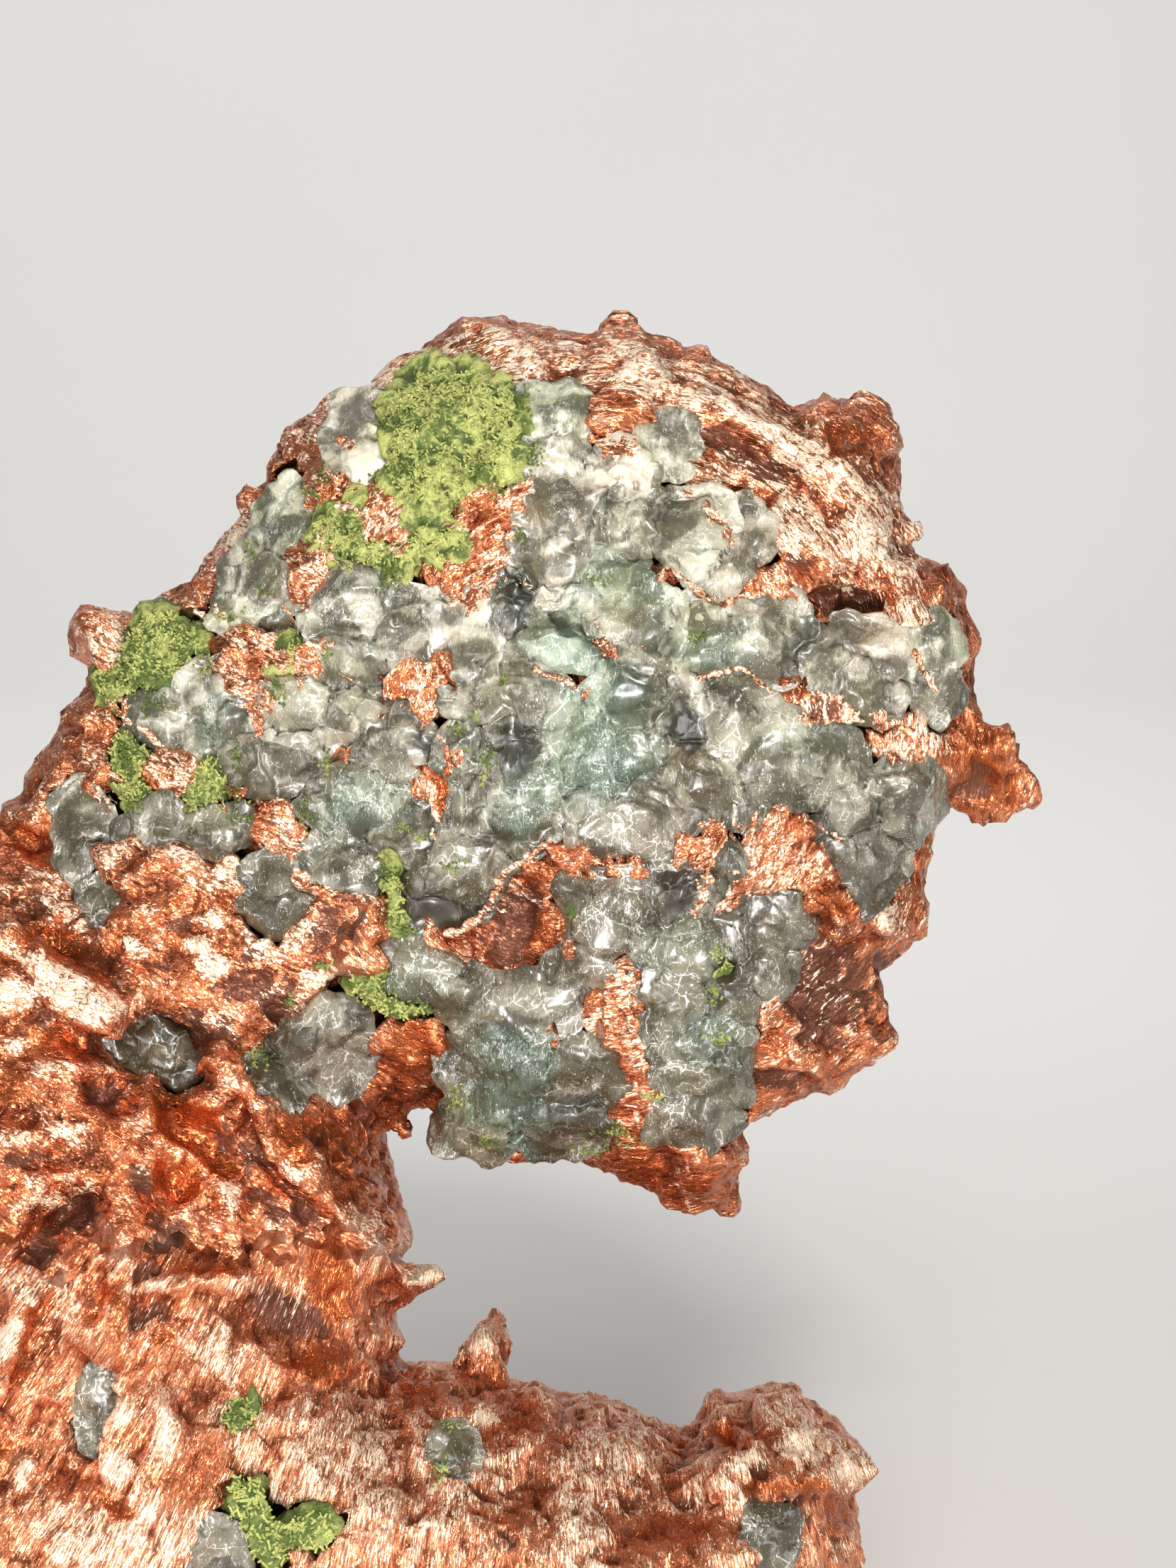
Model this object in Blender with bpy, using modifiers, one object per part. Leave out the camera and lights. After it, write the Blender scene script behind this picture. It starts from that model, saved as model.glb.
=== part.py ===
"""Native copper grown through quartz and epidote: a knob of copper and quartz on a broad copper foot.

The shapes are laid out on a face frame, in millimetres: x to the right, h up the face, and depth out of
the face towards the viewer. The frame is then leaned back, set over the seat and cut flat underneath.
"""
import math
import random

import bmesh
import bpy
import numpy as np
from mathutils import Matrix, Vector, noise

MM = 0.001

# Sides of the face, as the sign of the world's y
FRONT = -1
BACK = 1

# Stance of the face frame
LEAN_DEG = 15.0
FRAME_MIDDLE = (8.5, 8.0, 33.0)

# The places are as seen from this far in front of the face, down to the first of these heights
EYE_DISTANCE = 130.0
SEEN_DOWN_TO = -27.0
UNSEEN_FROM = -34.0

# Copper body
SLAB_HALF = 1.5
RIM_HALF = 1.1
DOME_RADIUS = 7.0
MARK_SPREAD = 5.5
BODY_VOXEL = 0.45
BODY_TRIANGLES = 3000
LUMP_WAVE = 5.0
LUMP_HEIGHT = 0.55

# Grains set in the copper
FIT_GAP = 0.32
GRAIN_SIDES = 6
GRAIN_SPREAD = 1.1
GRAIN_FRONT = 0.22
GRAIN_SWELL = 0.16
ROOT = 1.6
LEAST_ROOT = 0.7
SOCKET_TOP = 18.0
STEP = 0.7
SHORTEST_SIDE = 0.12
FLAT_DEG = 2.0

# Silhouette of the copper body, clockwise from its left shoulder
BODY_OUTLINE = [
    (-20.7, -2.0), (-19.9, -2.0), (-20.4, -1.3), (-19.8, -0.6), (-19.7, 0.5), (-18.9, 0.9), (-18.3, 1.9),
    (-18.4, 2.7), (-17.8, 3.4), (-17.6, 4.1), (-18.0, 5.5), (-17.6, 6.2), (-16.9, 6.3), (-16.2, 6.0),
    (-14.8, 6.7), (-13.5, 7.4), (-12.9, 8.6), (-11.7, 9.9), (-11.4, 11.1), (-10.4, 12.1), (-8.8, 13.5),
    (-7.4, 14.4), (-6.0, 14.9), (-4.7, 16.1), (-3.8, 16.6), (-2.2, 16.3), (0.2, 15.7), (0.8, 16.1),
    (2.0, 16.0), (3.9, 15.1), (5.7, 14.1), (7.2, 13.2), (8.4, 13.4), (9.8, 13.1), (10.7, 12.1),
    (10.4, 11.2), (11.0, 9.9), (11.5, 8.2), (12.5, 8.1), (13.1, 6.7), (13.7, 5.2), (13.5, 3.6),
    (13.1, 1.5), (12.7, -0.4), (11.9, -1.6), (11.4, -3.6), (11.5, -5.2), (10.3, -6.4), (10.3, -7.6),
    (10.6, -9.0), (9.4, -10.4), (7.3, -11.4), (5.6, -12.2), (5.6, -13.6), (5.0, -15.0), (3.8, -15.1),
    (3.0, -14.3), (1.3, -13.9), (-0.4, -13.3), (-2.0, -13.2), (-3.3, -13.6), (-4.4, -12.8),
    (-5.3, -12.0), (-5.2, -10.8), (-6.2, -11.0), (-7.4, -11.7), (-7.6, -12.5), (-7.2, -13.6),
    (-6.8, -14.9), (-6.5, -16.0), (-6.9, -17.2), (-7.3, -18.6), (-6.9, -19.6), (-7.2, -20.5),
    (-6.6, -21.3), (-5.8, -20.9), (-4.6, -20.9), (-2.6, -21.8), (-1.7, -21.6), (-0.9, -22.2),
    (0.2, -21.9), (1.2, -22.6), (2.2, -22.9), (3.3, -23.7), (4.2, -23.0), (4.5, -21.9), (5.8, -22.4),
    (7.0, -21.6), (8.1, -22.7), (9.7, -23.7), (9.6, -27.6), (10.4, -31.0), (9.2, -34.0), (7.8, -39.0),
    (-24.5, -39.0), (-27.0, -33.0), (-28.6, -28.0), (-27.9, -24.0), (-29.1, -19.5), (-28.2, -14.5),
    (-28.6, -10.5), (-26.4, -7.0), (-25.6, -4.2), (-23.4, -3.4), (-22.2, -1.7),
]

# Half thickness at places on the face: x, h, depth of the front, depth of the back
THICKNESS_MARKS = [
    (1, 4, 8.4, 9.0), (-6, 6, 7.6, 8.5), (-5, 12, 6.2, 7.0), (7, 9, 6.4, 7.5), (9, 0, 7.2, 8.5),
    (2, -9, 7.4, 8.0), (-12, 4, 5.2, 6.5), (-17, 1, 3.8, 6.0), (-14, -5, 6.4, 9.5),
    (-10, -12, 7.8, 11.5), (-20, -11, 8.6, 12.5), (-14, -19, 9.6, 13.5), (-24, -20, 8.8, 12.5),
    (0, -27, 10.5, 14.0), (7, -28, 9.0, 12.5), (-12, -29, 12.5, 15.0), (-22, -30, 12.0, 14.5),
    (-8, -37, 13.5, 15.0), (4, -36, 11.5, 14.0),
]

# Knobs of copper on the rim: x, h, depth, radius
RIM_NODULES = [
    (-17.2, 5.2, 0.3, 1.0), (-20.0, -1.2, 0.2, 0.6), (9.5, 12.4, 1.2, 1.3), (12.3, 7.3, 0.5, 0.9),
    (-24.6, -4.6, 1.5, 1.4), (-28.4, -11.0, 0.5, 1.3), (-28.6, -20.0, 0.5, 1.5), (10.0, -31.0, 1.0, 1.3),
    (-7.6, -15.3, 1.0, 1.0), (-7.8, -19.4, 1.0, 1.0),
]

# Broad lumps of the back, laid out as on the front
BACK_NODULES = [
    (2.5, 10.0, -4.6, 4.2), (-7.5, 1.0, -6.2, 4.4), (7.2, -2.5, -5.6, 3.4), (-17.5, -13.5, -10.2, 4.4),
    (-12.2, -14.0, -9.8, 3.4), (3.4, -31.0, -11.4, 4.2), (-22.5, -26.0, -10.6, 4.4),
    (-9.0, -29.5, -13.2, 4.4), (0.5, -8.2, -6.6, 3.2), (-21.0, -6.0, -5.8, 3.4), (-3.0, 12.0, -3.6, 3.4),
    (-14.0, 0.5, -3.9, 3.2),
]

# Spikes of copper: foot x, h, depth, then tip x, h, depth, foot radius, tip radius
SPIKES = [
    (-8.0, -18.3, 1.4, -5.4, -17.1, 1.9, 1.0, 0.5), (-3.7, -22.4, 0.6, -3.75, -19.3, 0.4, 1.3, 0.3),
    (-7.8, -11.2, 1.0, -6.4, -11.9, 1.2, 0.55, 0.3), (7.0, -23.0, 0.4, 7.0, -21.6, 0.2, 0.9, 0.4),
    (4.6, -23.2, 0.4, 4.6, -21.9, 0.3, 0.8, 0.35), (-27.0, -15.0, -3.0, -30.0, -13.4, -3.6, 1.2, 0.5),
    (-26.0, -24.0, -8.0, -29.2, -22.6, -9.6, 1.3, 0.5), (6.5, -30.0, -9.0, 8.6, -28.4, -12.0, 1.2, 0.5),
    (-16.0, -7.0, -8.0, -17.6, -5.2, -10.6, 1.2, 0.5), (9.0, 6.0, -4.5, 10.4, 7.2, -7.2, 1.1, 0.45),
    (-5.0, -2.0, -8.0, -5.6, -3.2, -10.8, 1.1, 0.45), (-4.0, -22.0, -9.5, -3.6, -20.6, -12.6, 1.2, 0.5),
]

# Thin flake at the right edge
FLAKE_OUTLINE = [
    (12.2, 2.6), (13.9, 2.7), (15.1, 1.8), (15.5, 0.4), (16.1, -0.4), (15.7, -1.3), (14.9, -0.9),
    (14.0, -1.4), (12.7, -0.7), (11.8, -0.4),
]
FLAKE_HALF = 0.42
FLAKE_DEPTH = 0.6
FLAKE_CURL = 0.22

# Ridges and grooves of the front: two ends (x, h), half width, height
RIDGES = [
    ((-22.5, -4.6), (-16.8, -7.9), 0.9, 1.1), ((-16.8, -7.9), (-13.2, -9.6), 0.6, 0.7),
    ((-17.4, -10.6), (-12.4, -11.4), 0.8, 0.9), ((-13.0, -10.2), (-9.6, -13.4), 0.6, 0.8),
    ((-9.6, -13.4), (-7.0, -16.8), 0.6, 0.8), ((-19.2, -16.5), (-20.8, -22.0), 0.7, 0.9),
    ((-16.8, -16.4), (-17.1, -20.8), 0.6, 0.8), ((-15.8, -17.4), (-11.8, -17.7), 0.6, 0.7),
    ((-8.2, -17.6), (-8.6, -20.4), 0.8, 0.5), ((4.4, -24.6), (9.4, -23.9), 0.7, 0.7),
    ((-14.8, -22.0), (-16.4, -26.5), 0.9, 0.8), ((-22.5, -12.5), (-18.4, -14.0), 0.8, 0.7),
    ((-2.0, 14.6), (10.0, 12.0), 1.2, 0.3), ((3.6, 12.7), (8.6, 9.6), 0.8, -0.55),
    ((-6.0, -24.6), (3.0, -25.4), 1.0, -0.5), ((0.5, -28.0), (8.0, -27.0), 1.2, 0.6),
    ((9.6, 11.4), (12.4, 4.6), 1.0, 0.35), ((-12.0, -13.6), (-15.0, -14.4), 0.8, -0.7),
]

# Ridges of the back
BACK_RIDGES = [
    ((-12.0, 2.0), (-4.0, 9.0), 1.1, 0.7), ((4.0, 12.0), (9.5, 4.0), 1.0, 0.7),
    ((-24.0, -9.0), (-12.0, -4.0), 1.2, 0.8), ((-18.0, -12.0), (-8.0, -17.0), 0.9, 0.7),
    ((-26.0, -20.0), (-18.0, -31.0), 1.1, 0.9), ((-14.0, -24.0), (-2.0, -22.0), 0.9, 0.7),
    ((2.0, -24.5), (6.5, -33.0), 1.1, 0.8), ((-4.0, -3.0), (6.0, -7.0), 1.0, 0.7),
]

# Hollows of the front: x, h, half width, half height, depth
HOLLOWS = [
    (-2.7, -5.0, 1.9, 2.0, 1.7), (8.9, -7.4, 1.8, 2.3, 1.9), (-15.2, -9.5, 2.1, 1.5, 2.6),
    (-9.7, -9.8, 2.6, 2.0, 1.4), (-18.2, -14.9, 1.1, 0.8, 1.6), (-19.4, -16.0, 0.8, 0.8, 1.3),
    (9.2, 6.5, 1.4, 0.9, 1.0), (-17.2, -10.8, 0.9, 0.7, 1.2), (-13.9, -12.6, 1.5, 1.0, 0.8),
    (-15.6, -17.2, 0.9, 0.6, 0.8), (11.8, 2.9, 0.6, 0.6, 0.8), (6.8, -10.5, 1.1, 0.6, 0.8),
]

# Hollows of the back
BACK_HOLLOWS = [
    (-7.0, 6.0, 2.2, 1.6, 1.4), (6.0, 0.5, 1.8, 2.2, 1.3), (-17.0, -8.0, 2.4, 1.6, 1.5),
    (-9.0, -20.0, 1.8, 2.0, 1.4), (-23.0, -24.0, 1.6, 2.4, 1.3), (2.0, -28.5, 1.8, 1.4, 1.2),
    (-2.0, -9.5, 2.0, 1.3, 1.2), (-14.0, -32.0, 2.2, 1.5, 1.3),
]

# Grains of each piece: x, h, half width, half height, turn in degrees
QUARTZ = {
    "quartz_crest": [(-1.1, 13.0, 1.2, 1.0, 0), (-1.2, 11.7, 1.1, 0.9, 0), (-0.8, 9.8, 1.7, 1.5, 0),
                     (-1.3, 7.6, 1.5, 1.4, 0), (1.2, 10.9, 1.2, 1.0, 20), (1.3, 9.2, 1.5, 1.3, 0),
                     (0.7, 7.4, 1.2, 1.1, 0), (3.9, 8.8, 1.5, 1.5, -30), (5.0, 7.6, 1.1, 0.8, -10)],
    "quartz_bead": [(2.8, 12.0, 0.9, 0.95, 0)],
    "quartz_drop": [(5.7, 8.9, 0.65, 1.15, 0)],
    "quartz_brow": [(1.6, 6.1, 1.5, 1.1, -20), (3.9, 5.4, 1.4, 1.3, 0), (6.3, 5.2, 1.7, 1.6, -20),
                    (8.4, 4.2, 1.3, 1.0, -20), (9.9, 4.9, 1.4, 0.95, -15), (9.8, 3.3, 1.3, 0.9, -30)],
    "quartz_temple": [(12.1, 4.8, 0.85, 1.0, 0), (12.3, 3.2, 0.65, 1.0, 0)],
    "quartz_heart": [(-8.2, 6.5, 1.7, 1.5, 0), (-6.3, 5.5, 1.6, 1.4, 0), (-4.2, 5.7, 1.4, 1.3, 0),
                     (-2.7, 6.4, 0.9, 1.2, 10), (-8.6, 4.3, 1.5, 1.0, 0), (-1.1, 5.3, 1.5, 1.1, -20),
                     (-3.1, 3.3, 2.0, 1.2, 0), (-10.4, 2.9, 1.5, 1.1, 0), (-8.3, 2.2, 1.3, 1.2, 0),
                     (-6.9, 1.3, 1.3, 1.2, 0), (-2.6, 1.0, 1.2, 1.4, 0), (-0.2, 1.5, 1.5, 1.7, 0),
                     (1.4, 3.1, 1.5, 1.3, 0), (1.7, 1.0, 1.1, 1.1, 0), (3.3, 2.6, 1.1, 1.0, 0),
                     (5.2, 2.4, 1.3, 1.4, 0), (3.7, 0.4, 1.6, 1.3, 0), (1.5, -1.1, 2.2, 1.3, 0),
                     (-8.0, -0.8, 1.8, 1.3, 0), (-6.7, -1.3, 1.2, 1.4, 0), (-3.0, -1.1, 1.9, 1.4, 0),
                     (-4.4, -3.1, 1.7, 1.4, 30), (-8.4, -2.9, 1.5, 1.1, -20), (-5.5, -4.4, 1.2, 0.6, -15),
                     (-10.5, 0.9, 1.1, 1.2, 0), (-12.0, 0.6, 1.1, 1.1, 0), (-4.4, 0.9, 0.9, 1.1, 0)],
    "quartz_cheek": [(7.6, 0.8, 2.6, 1.6, -8), (11.1, -0.5, 1.3, 1.4, 0), (9.8, -2.8, 1.3, 1.5, 0),
                     (9.2, -1.0, 1.4, 1.0, 0)],
    "quartz_chin": [(1.0, -4.3, 1.7, 1.5, 0), (3.1, -3.7, 0.95, 1.2, 0), (3.5, -5.9, 1.7, 1.3, 0),
                    (6.1, -4.9, 1.9, 1.3, 10), (2.9, -7.8, 1.4, 1.6, 0), (4.9, -7.4, 0.9, 1.0, 0),
                    (6.4, -6.5, 0.8, 0.8, 0), (3.9, -9.6, 1.8, 1.5, 0), (3.5, -11.8, 1.8, 0.8, 0)],
    "quartz_lip": [(-5.9, -6.4, 1.7, 1.1, 0), (-4.4, -7.4, 1.2, 0.9, 0), (-2.0, -7.8, 2.0, 1.0, 0),
                   (-0.4, -6.6, 1.1, 0.8, 0)],
    "quartz_toe": [(-3.2, -10.0, 1.9, 1.7, 0), (0.1, -10.2, 1.3, 1.2, 0), (-3.9, -12.1, 1.3, 1.1, 0),
                   (-1.2, -12.1, 1.8, 0.9, 0)],
    "quartz_pea": [(5.6, -0.95, 0.55, 0.5, 0)],
    "quartz_pip": [(5.0, -3.0, 0.55, 0.6, 0)],
    "quartz_shoulder": [(-8.1, 12.3, 1.0, 1.5, -10)],
    "quartz_sliver": [(-10.8, 9.2, 0.75, 1.5, -10), (-11.6, 7.3, 1.1, 1.1, 30), (-11.7, 6.0, 1.4, 0.9, 0)],
    "quartz_flank": [(-13.5, 3.1, 1.1, 1.1, 0), (-14.9, 2.2, 1.1, 0.9, -20), (-14.1, 1.6, 1.1, 0.7, -30),
                     (-12.7, 2.2, 0.7, 1.2, -10)],
    "quartz_heel": [(-17.9, -1.7, 0.9, 1.5, -5)],
    "quartz_shelf": [(-15.4, -1.4, 1.1, 0.9, 0), (-13.3, -1.6, 1.2, 0.7, 0)],
    "quartz_shard": [(-11.0, -3.8, 1.1, 1.2, 10)],
    "quartz_pocket_left": [(-15.3, -9.5, 1.6, 1.0, -20)],
    "quartz_pocket_right": [(-9.3, -9.4, 1.7, 1.5, 30), (-11.0, -10.4, 1.2, 0.9, -30)],
    "quartz_peg": [(-17.3, -4.3, 0.55, 0.8, 10)],
    "quartz_plate": [(-17.2, -22.0, 0.7, 1.5, -10)],
    "quartz_tooth": [(-13.0, -27.2, 1.0, 1.1, 0)],
    "quartz_bud": [(-4.6, -23.6, 0.65, 0.9, 5)],
    "quartz_pebble": [(6.4, -26.5, 0.8, 0.9, 0)],
}

# Patches of fine green grains
EPIDOTE = {
    "epidote_crown": [(-5.0, 13.2, 1.9, 1.6, 0), (-3.4, 13.0, 1.2, 1.2, 0), (-5.6, 11.4, 1.6, 1.7, 0),
                      (-3.0, 11.4, 0.9, 1.0, 0)],
    "epidote_band": [(-8.7, 8.8, 1.1, 0.85, 30), (-7.5, 8.0, 1.1, 0.75, -40), (-5.3, 8.6, 1.1, 0.7, 0),
                     (-6.3, 8.2, 0.8, 0.6, 0)],
    "epidote_flank": [(-15.2, 4.6, 1.6, 1.2, 25), (-16.6, 3.6, 0.8, 0.7, 30)],
    "epidote_sprig": [(-16.1, 0.9, 0.6, 1.0, 0), (-16.0, -0.4, 0.5, 0.7, 0)],
    "epidote_streak": [(-13.0, 0.3, 0.6, 1.1, -30), (-13.9, -0.5, 0.7, 0.5, 0)],
    "epidote_stud": [(-10.4, 4.4, 0.5, 0.7, 20)],
    "epidote_vein": [(-6.9, -3.4, 0.45, 0.9, 20), (-6.7, -4.6, 0.5, 0.6, 0)],
    "epidote_pocket": [(-7.6, -7.4, 0.9, 0.5, -20), (-6.4, -7.9, 0.9, 0.45, 0)],
    "epidote_tuft": [(4.5, -6.5, 0.45, 0.6, 0)],
    "epidote_foot": [(-12.0, -25.4, 0.8, 1.2, 10), (-11.1, -26.6, 1.0, 0.8, 0), (-9.7, -26.2, 0.8, 0.7, 0)],
    "epidote_knee": [(-12.2, -22.3, 0.8, 0.6, 20)],
}

# Blocks of copper that reach the surface between the grains
COPPER_BLOCKS = [
    (-5.35, 0.0, 0.5, 1.5, -8), (-6.0, 3.4, 0.9, 0.8, 0), (0.9, -7.7, 0.7, 1.3, 0), (1.6, -9.6, 0.6, 0.8, 0),
    (-4.0, 7.5, 1.2, 0.8, 40), (-3.0, 9.2, 0.6, 1.3, -20), (-7.0, 9.4, 0.9, 0.9, -30),
    (-9.8, 7.3, 0.6, 1.1, 20), (-11.9, 4.0, 0.7, 1.2, 10), (-14.6, 0.2, 0.6, 0.6, 0),
    (-11.2, -1.7, 0.8, 0.5, -15), (-8.4, -4.9, 1.8, 0.9, -20), (-5.2, -5.4, 1.1, 0.5, 15),
    (4.2, -2.6, 0.5, 1.5, -10), (6.8, -2.6, 1.8, 0.5, -5), (6.8, -1.6, 0.9, 0.5, 0),
    (8.2, 2.7, 1.5, 0.6, -20), (6.0, 6.9, 1.2, 0.5, 0), (0.9, -2.75, 2.4, 0.24, 0), (8.2, -4.3, 0.5, 0.9, 40),
    (1.9, -11.4, 0.5, 0.6, 0),
]

# Grains that show on the back, laid out as on the front
BACK_QUARTZ = {
    "quartz_back_high": [(-1.5, 7.6, 2.0, 1.7, 0), (1.4, 6.3, 1.8, 1.5, 20), (-0.6, 4.6, 1.7, 1.5, 0),
                         (2.6, 4.0, 1.3, 1.2, 0)],
    "quartz_back_side": [(-10.5, -5.2, 1.9, 1.4, 25), (-12.6, -7.0, 1.4, 1.3, 0)],
    "quartz_back_low": [(-3.4, -25.4, 1.9, 1.5, 0), (-5.6, -27.0, 1.6, 1.3, 0), (-2.9, -28.0, 1.4, 1.2, 0)],
    "quartz_back_bead": [(7.6, -2.2, 1.3, 1.2, 0)],
    "quartz_back_left": [(-21.5, -15.6, 1.6, 1.4, 0), (-19.6, -17.2, 1.3, 1.3, 0)],
}
BACK_EPIDOTE = {
    "epidote_back_high": [(4.9, 7.9, 1.2, 0.9, 0), (5.9, 6.7, 0.8, 0.8, 0)],
    "epidote_back_low": [(-13.4, -21.0, 1.4, 1.0, 30), (-12.0, -19.8, 0.8, 0.7, 0)],
}

SEED = 29


def clear_scene():
    """Removes the objects that the scene opens with."""
    for obj in list(bpy.data.objects):
        bpy.data.objects.remove(obj)


def make_collection(name, shown):
    """A new collection in the scene; what the shapes are cut with stays unrendered."""
    collection = bpy.data.collections.new(name)
    collection.hide_render = not shown
    bpy.context.scene.collection.children.link(collection)
    return collection


def make_material(name, colour, roughness, metallic):
    """A Principled material of one colour."""
    material = bpy.data.materials.new(name)
    material.use_nodes = True
    shader = material.node_tree.nodes["Principled BSDF"]
    shader.inputs["Base Color"].default_value = (*colour, 1.0)
    shader.inputs["Roughness"].default_value = roughness
    shader.inputs["Metallic"].default_value = metallic
    material.diffuse_color = (*colour, 1.0)
    return material


def applied(obj, collection):
    """Replaces the object by a plain mesh object of what its modifiers make."""
    bpy.context.view_layer.update()
    graph = bpy.context.evaluated_depsgraph_get()
    mesh = bpy.data.meshes.new_from_object(obj.evaluated_get(graph))
    mesh.transform(obj.matrix_world)
    made = bpy.data.objects.new("applied", mesh)
    bpy.data.objects.remove(obj)
    collection.objects.link(made)
    return made


def mesh_object(name, bm, collection):
    """A mesh object that holds the bmesh."""
    mesh = bpy.data.meshes.new(name)
    bm.to_mesh(mesh)
    bm.free()
    obj = bpy.data.objects.new(name, mesh)
    collection.objects.link(obj)
    return obj


def slab(outline, half, collection):
    """A flat plate with this outline, standing on the face, as a welded mesh object."""
    curve = bpy.data.curves.new("outline", "CURVE")
    curve.dimensions = "2D"
    curve.fill_mode = "BOTH"
    curve.extrude = half * MM
    spline = curve.splines.new("POLY")
    spline.points.add(len(outline) - 1)
    for point, (x, h) in zip(spline.points, outline):
        point.co = (x * MM, h * MM, 0, 1)
    spline.use_cyclic_u = True
    obj = bpy.data.objects.new("outline", curve)
    obj.rotation_euler.x = math.radians(90)
    collection.objects.link(obj)
    made = applied(obj, collection)
    bm = bmesh.new()
    bm.from_mesh(made.data)
    bmesh.ops.remove_doubles(bm, verts=bm.verts, dist=0.00001)
    bm.to_mesh(made.data)
    bm.free()
    return made


def remeshed(obj, voxel, collection):
    """The object as one closed skin of even faces."""
    modifier = obj.modifiers.new("skin", "REMESH")
    modifier.mode = "VOXEL"
    modifier.voxel_size = voxel * MM
    return applied(obj, collection)


def get_points(mesh):
    """The mesh's points in millimetres, as an array."""
    flat = np.empty(len(mesh.vertices) * 3)
    mesh.vertices.foreach_get("co", flat)
    return flat.reshape(-1, 3) / MM


def set_points(mesh, points):
    """Writes an array of points in millimetres back to the mesh."""
    mesh.vertices.foreach_set("co", (points * MM).ravel())
    mesh.update()


def line_distance(x, h, start, end):
    """How far places on the face are from the line between two points."""
    run = (end[0] - start[0]) ** 2 + (end[1] - start[1]) ** 2
    along = ((x - start[0]) * (end[0] - start[0]) + (h - start[1]) * (end[1] - start[1])) / run
    along = np.clip(along, 0, 1)
    return np.hypot(x - start[0] - along * (end[0] - start[0]), h - start[1] - along * (end[1] - start[1]))


def rim_distance(x, h):
    """How far places on the face lie from the body's outline."""
    nearest = np.full(np.shape(x), 1e9)
    for start, end in zip(BODY_OUTLINE, BODY_OUTLINE[1:] + BODY_OUTLINE[:1]):
        nearest = np.minimum(nearest, line_distance(x, h, start, end))
    return nearest


def smooth_depth(x, h, side):
    """Depth of the smooth swollen body, in front or behind."""
    weight = np.zeros(np.shape(x))
    total = np.zeros(np.shape(x))
    for mark in THICKNESS_MARKS:
        reach = np.exp(-((x - mark[0]) ** 2 + (h - mark[1]) ** 2) / (2 * MARK_SPREAD**2)) + 1e-9
        weight += reach
        total += reach * (mark[2] if side == FRONT else mark[3])
    share = np.clip(rim_distance(x, h) / DOME_RADIUS, 0, 1)
    dome = np.sqrt(1 - (1 - share) ** 2)
    return RIM_HALF + (total / weight - RIM_HALF) * dome


def lumps(points):
    """Height of the broad lumps at each point."""
    waves = [noise.fractal(Vector(point) / LUMP_WAVE, 0.8, 2.1, 3) for point in points]
    return LUMP_HEIGHT * np.array(waves)


def relief(x, h, side):
    """What the ridges and hollows of one side add to its depth."""
    lift = np.zeros(np.shape(x))
    for start, end, width, height in RIDGES if side == FRONT else BACK_RIDGES:
        lift += height * np.exp(-((line_distance(x, h, start, end) / width) ** 2))
    for middle_x, middle_h, width, height, depth in HOLLOWS if side == FRONT else BACK_HOLLOWS:
        reach = ((x - middle_x) / width) ** 2 + ((h - middle_h) / height) ** 2
        lift -= depth * np.exp(-(reach**2))
    return lift


def face_depth(x, h, side):
    """Depth of the finished surface at places on the face."""
    x = np.atleast_1d(np.asarray(x, float))
    h = np.atleast_1d(np.asarray(h, float))
    smooth = smooth_depth(x, h, side)
    return smooth + lumps(np.column_stack([x, side * smooth, h])) + relief(x, h, side)


def inflated_body(collection):
    """The outline's slab, swollen to the marked thickness in front and behind."""
    body = remeshed(slab(BODY_OUTLINE, SLAB_HALF, collection), BODY_VOXEL, collection)
    points = get_points(body.data)
    share = np.clip(points[:, 1] / SLAB_HALF, -1, 1)
    front = smooth_depth(points[:, 0], points[:, 2], FRONT)
    back = smooth_depth(points[:, 0], points[:, 2], BACK)
    points[:, 1] = share * np.where(share < 0, front, back)
    set_points(body.data, points)
    return body


def nodule(place, collection):
    """A round knob of copper."""
    x, h, depth, radius = place
    bm = bmesh.new()
    bmesh.ops.create_icosphere(bm, subdivisions=2, radius=radius * MM)
    bmesh.ops.translate(bm, verts=bm.verts, vec=Vector((x, -depth, h)) * MM)
    return mesh_object("nodule", bm, collection)


def spike(place, collection):
    """A tapered spike between two points."""
    foot = Vector((place[0], -place[2], place[1])) * MM
    tip = Vector((place[3], -place[5], place[4])) * MM
    bm = bmesh.new()
    bmesh.ops.create_cone(bm, cap_ends=True, segments=9, radius1=place[6] * MM, radius2=place[7] * MM,
                          depth=(tip - foot).length)
    turn = (tip - foot).to_track_quat("Z", "Y").to_matrix().to_4x4()
    bmesh.ops.transform(bm, verts=bm.verts, matrix=Matrix.Translation((foot + tip) / 2) @ turn)
    return mesh_object("spike", bm, collection)


def flake(collection):
    """The thin curled flake at the right edge."""
    plate = slab(FLAKE_OUTLINE, FLAKE_HALF, collection)
    points = get_points(plate.data)
    curl = FLAKE_CURL * (points[:, 0] - FLAKE_OUTLINE[0][0]) ** 2
    points[:, 1] -= FLAKE_DEPTH + curl * np.clip(points[:, 2] / 2.7, -1, 1)
    set_points(plate.data, points)
    return plate


def joined(objects, collection):
    """All the objects' meshes in one object, still overlapping."""
    bm = bmesh.new()
    for obj in objects:
        bm.from_mesh(obj.data)
        bpy.data.objects.remove(obj)
    return mesh_object("joined", bm, collection)


def carve_relief(obj):
    """Adds lumps all over, and the ridges and hollows of both sides."""
    mesh = obj.data
    points = get_points(mesh)
    normals = np.array([vertex.normal for vertex in mesh.vertices])
    points += normals * lumps(points)[:, None]
    for side in (FRONT, BACK):
        facing = np.clip(side * normals[:, 1] * 2.0, 0, 1)
        points[:, 1] += side * facing * relief(points[:, 0], points[:, 2], side)
    set_points(mesh, points)


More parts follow.
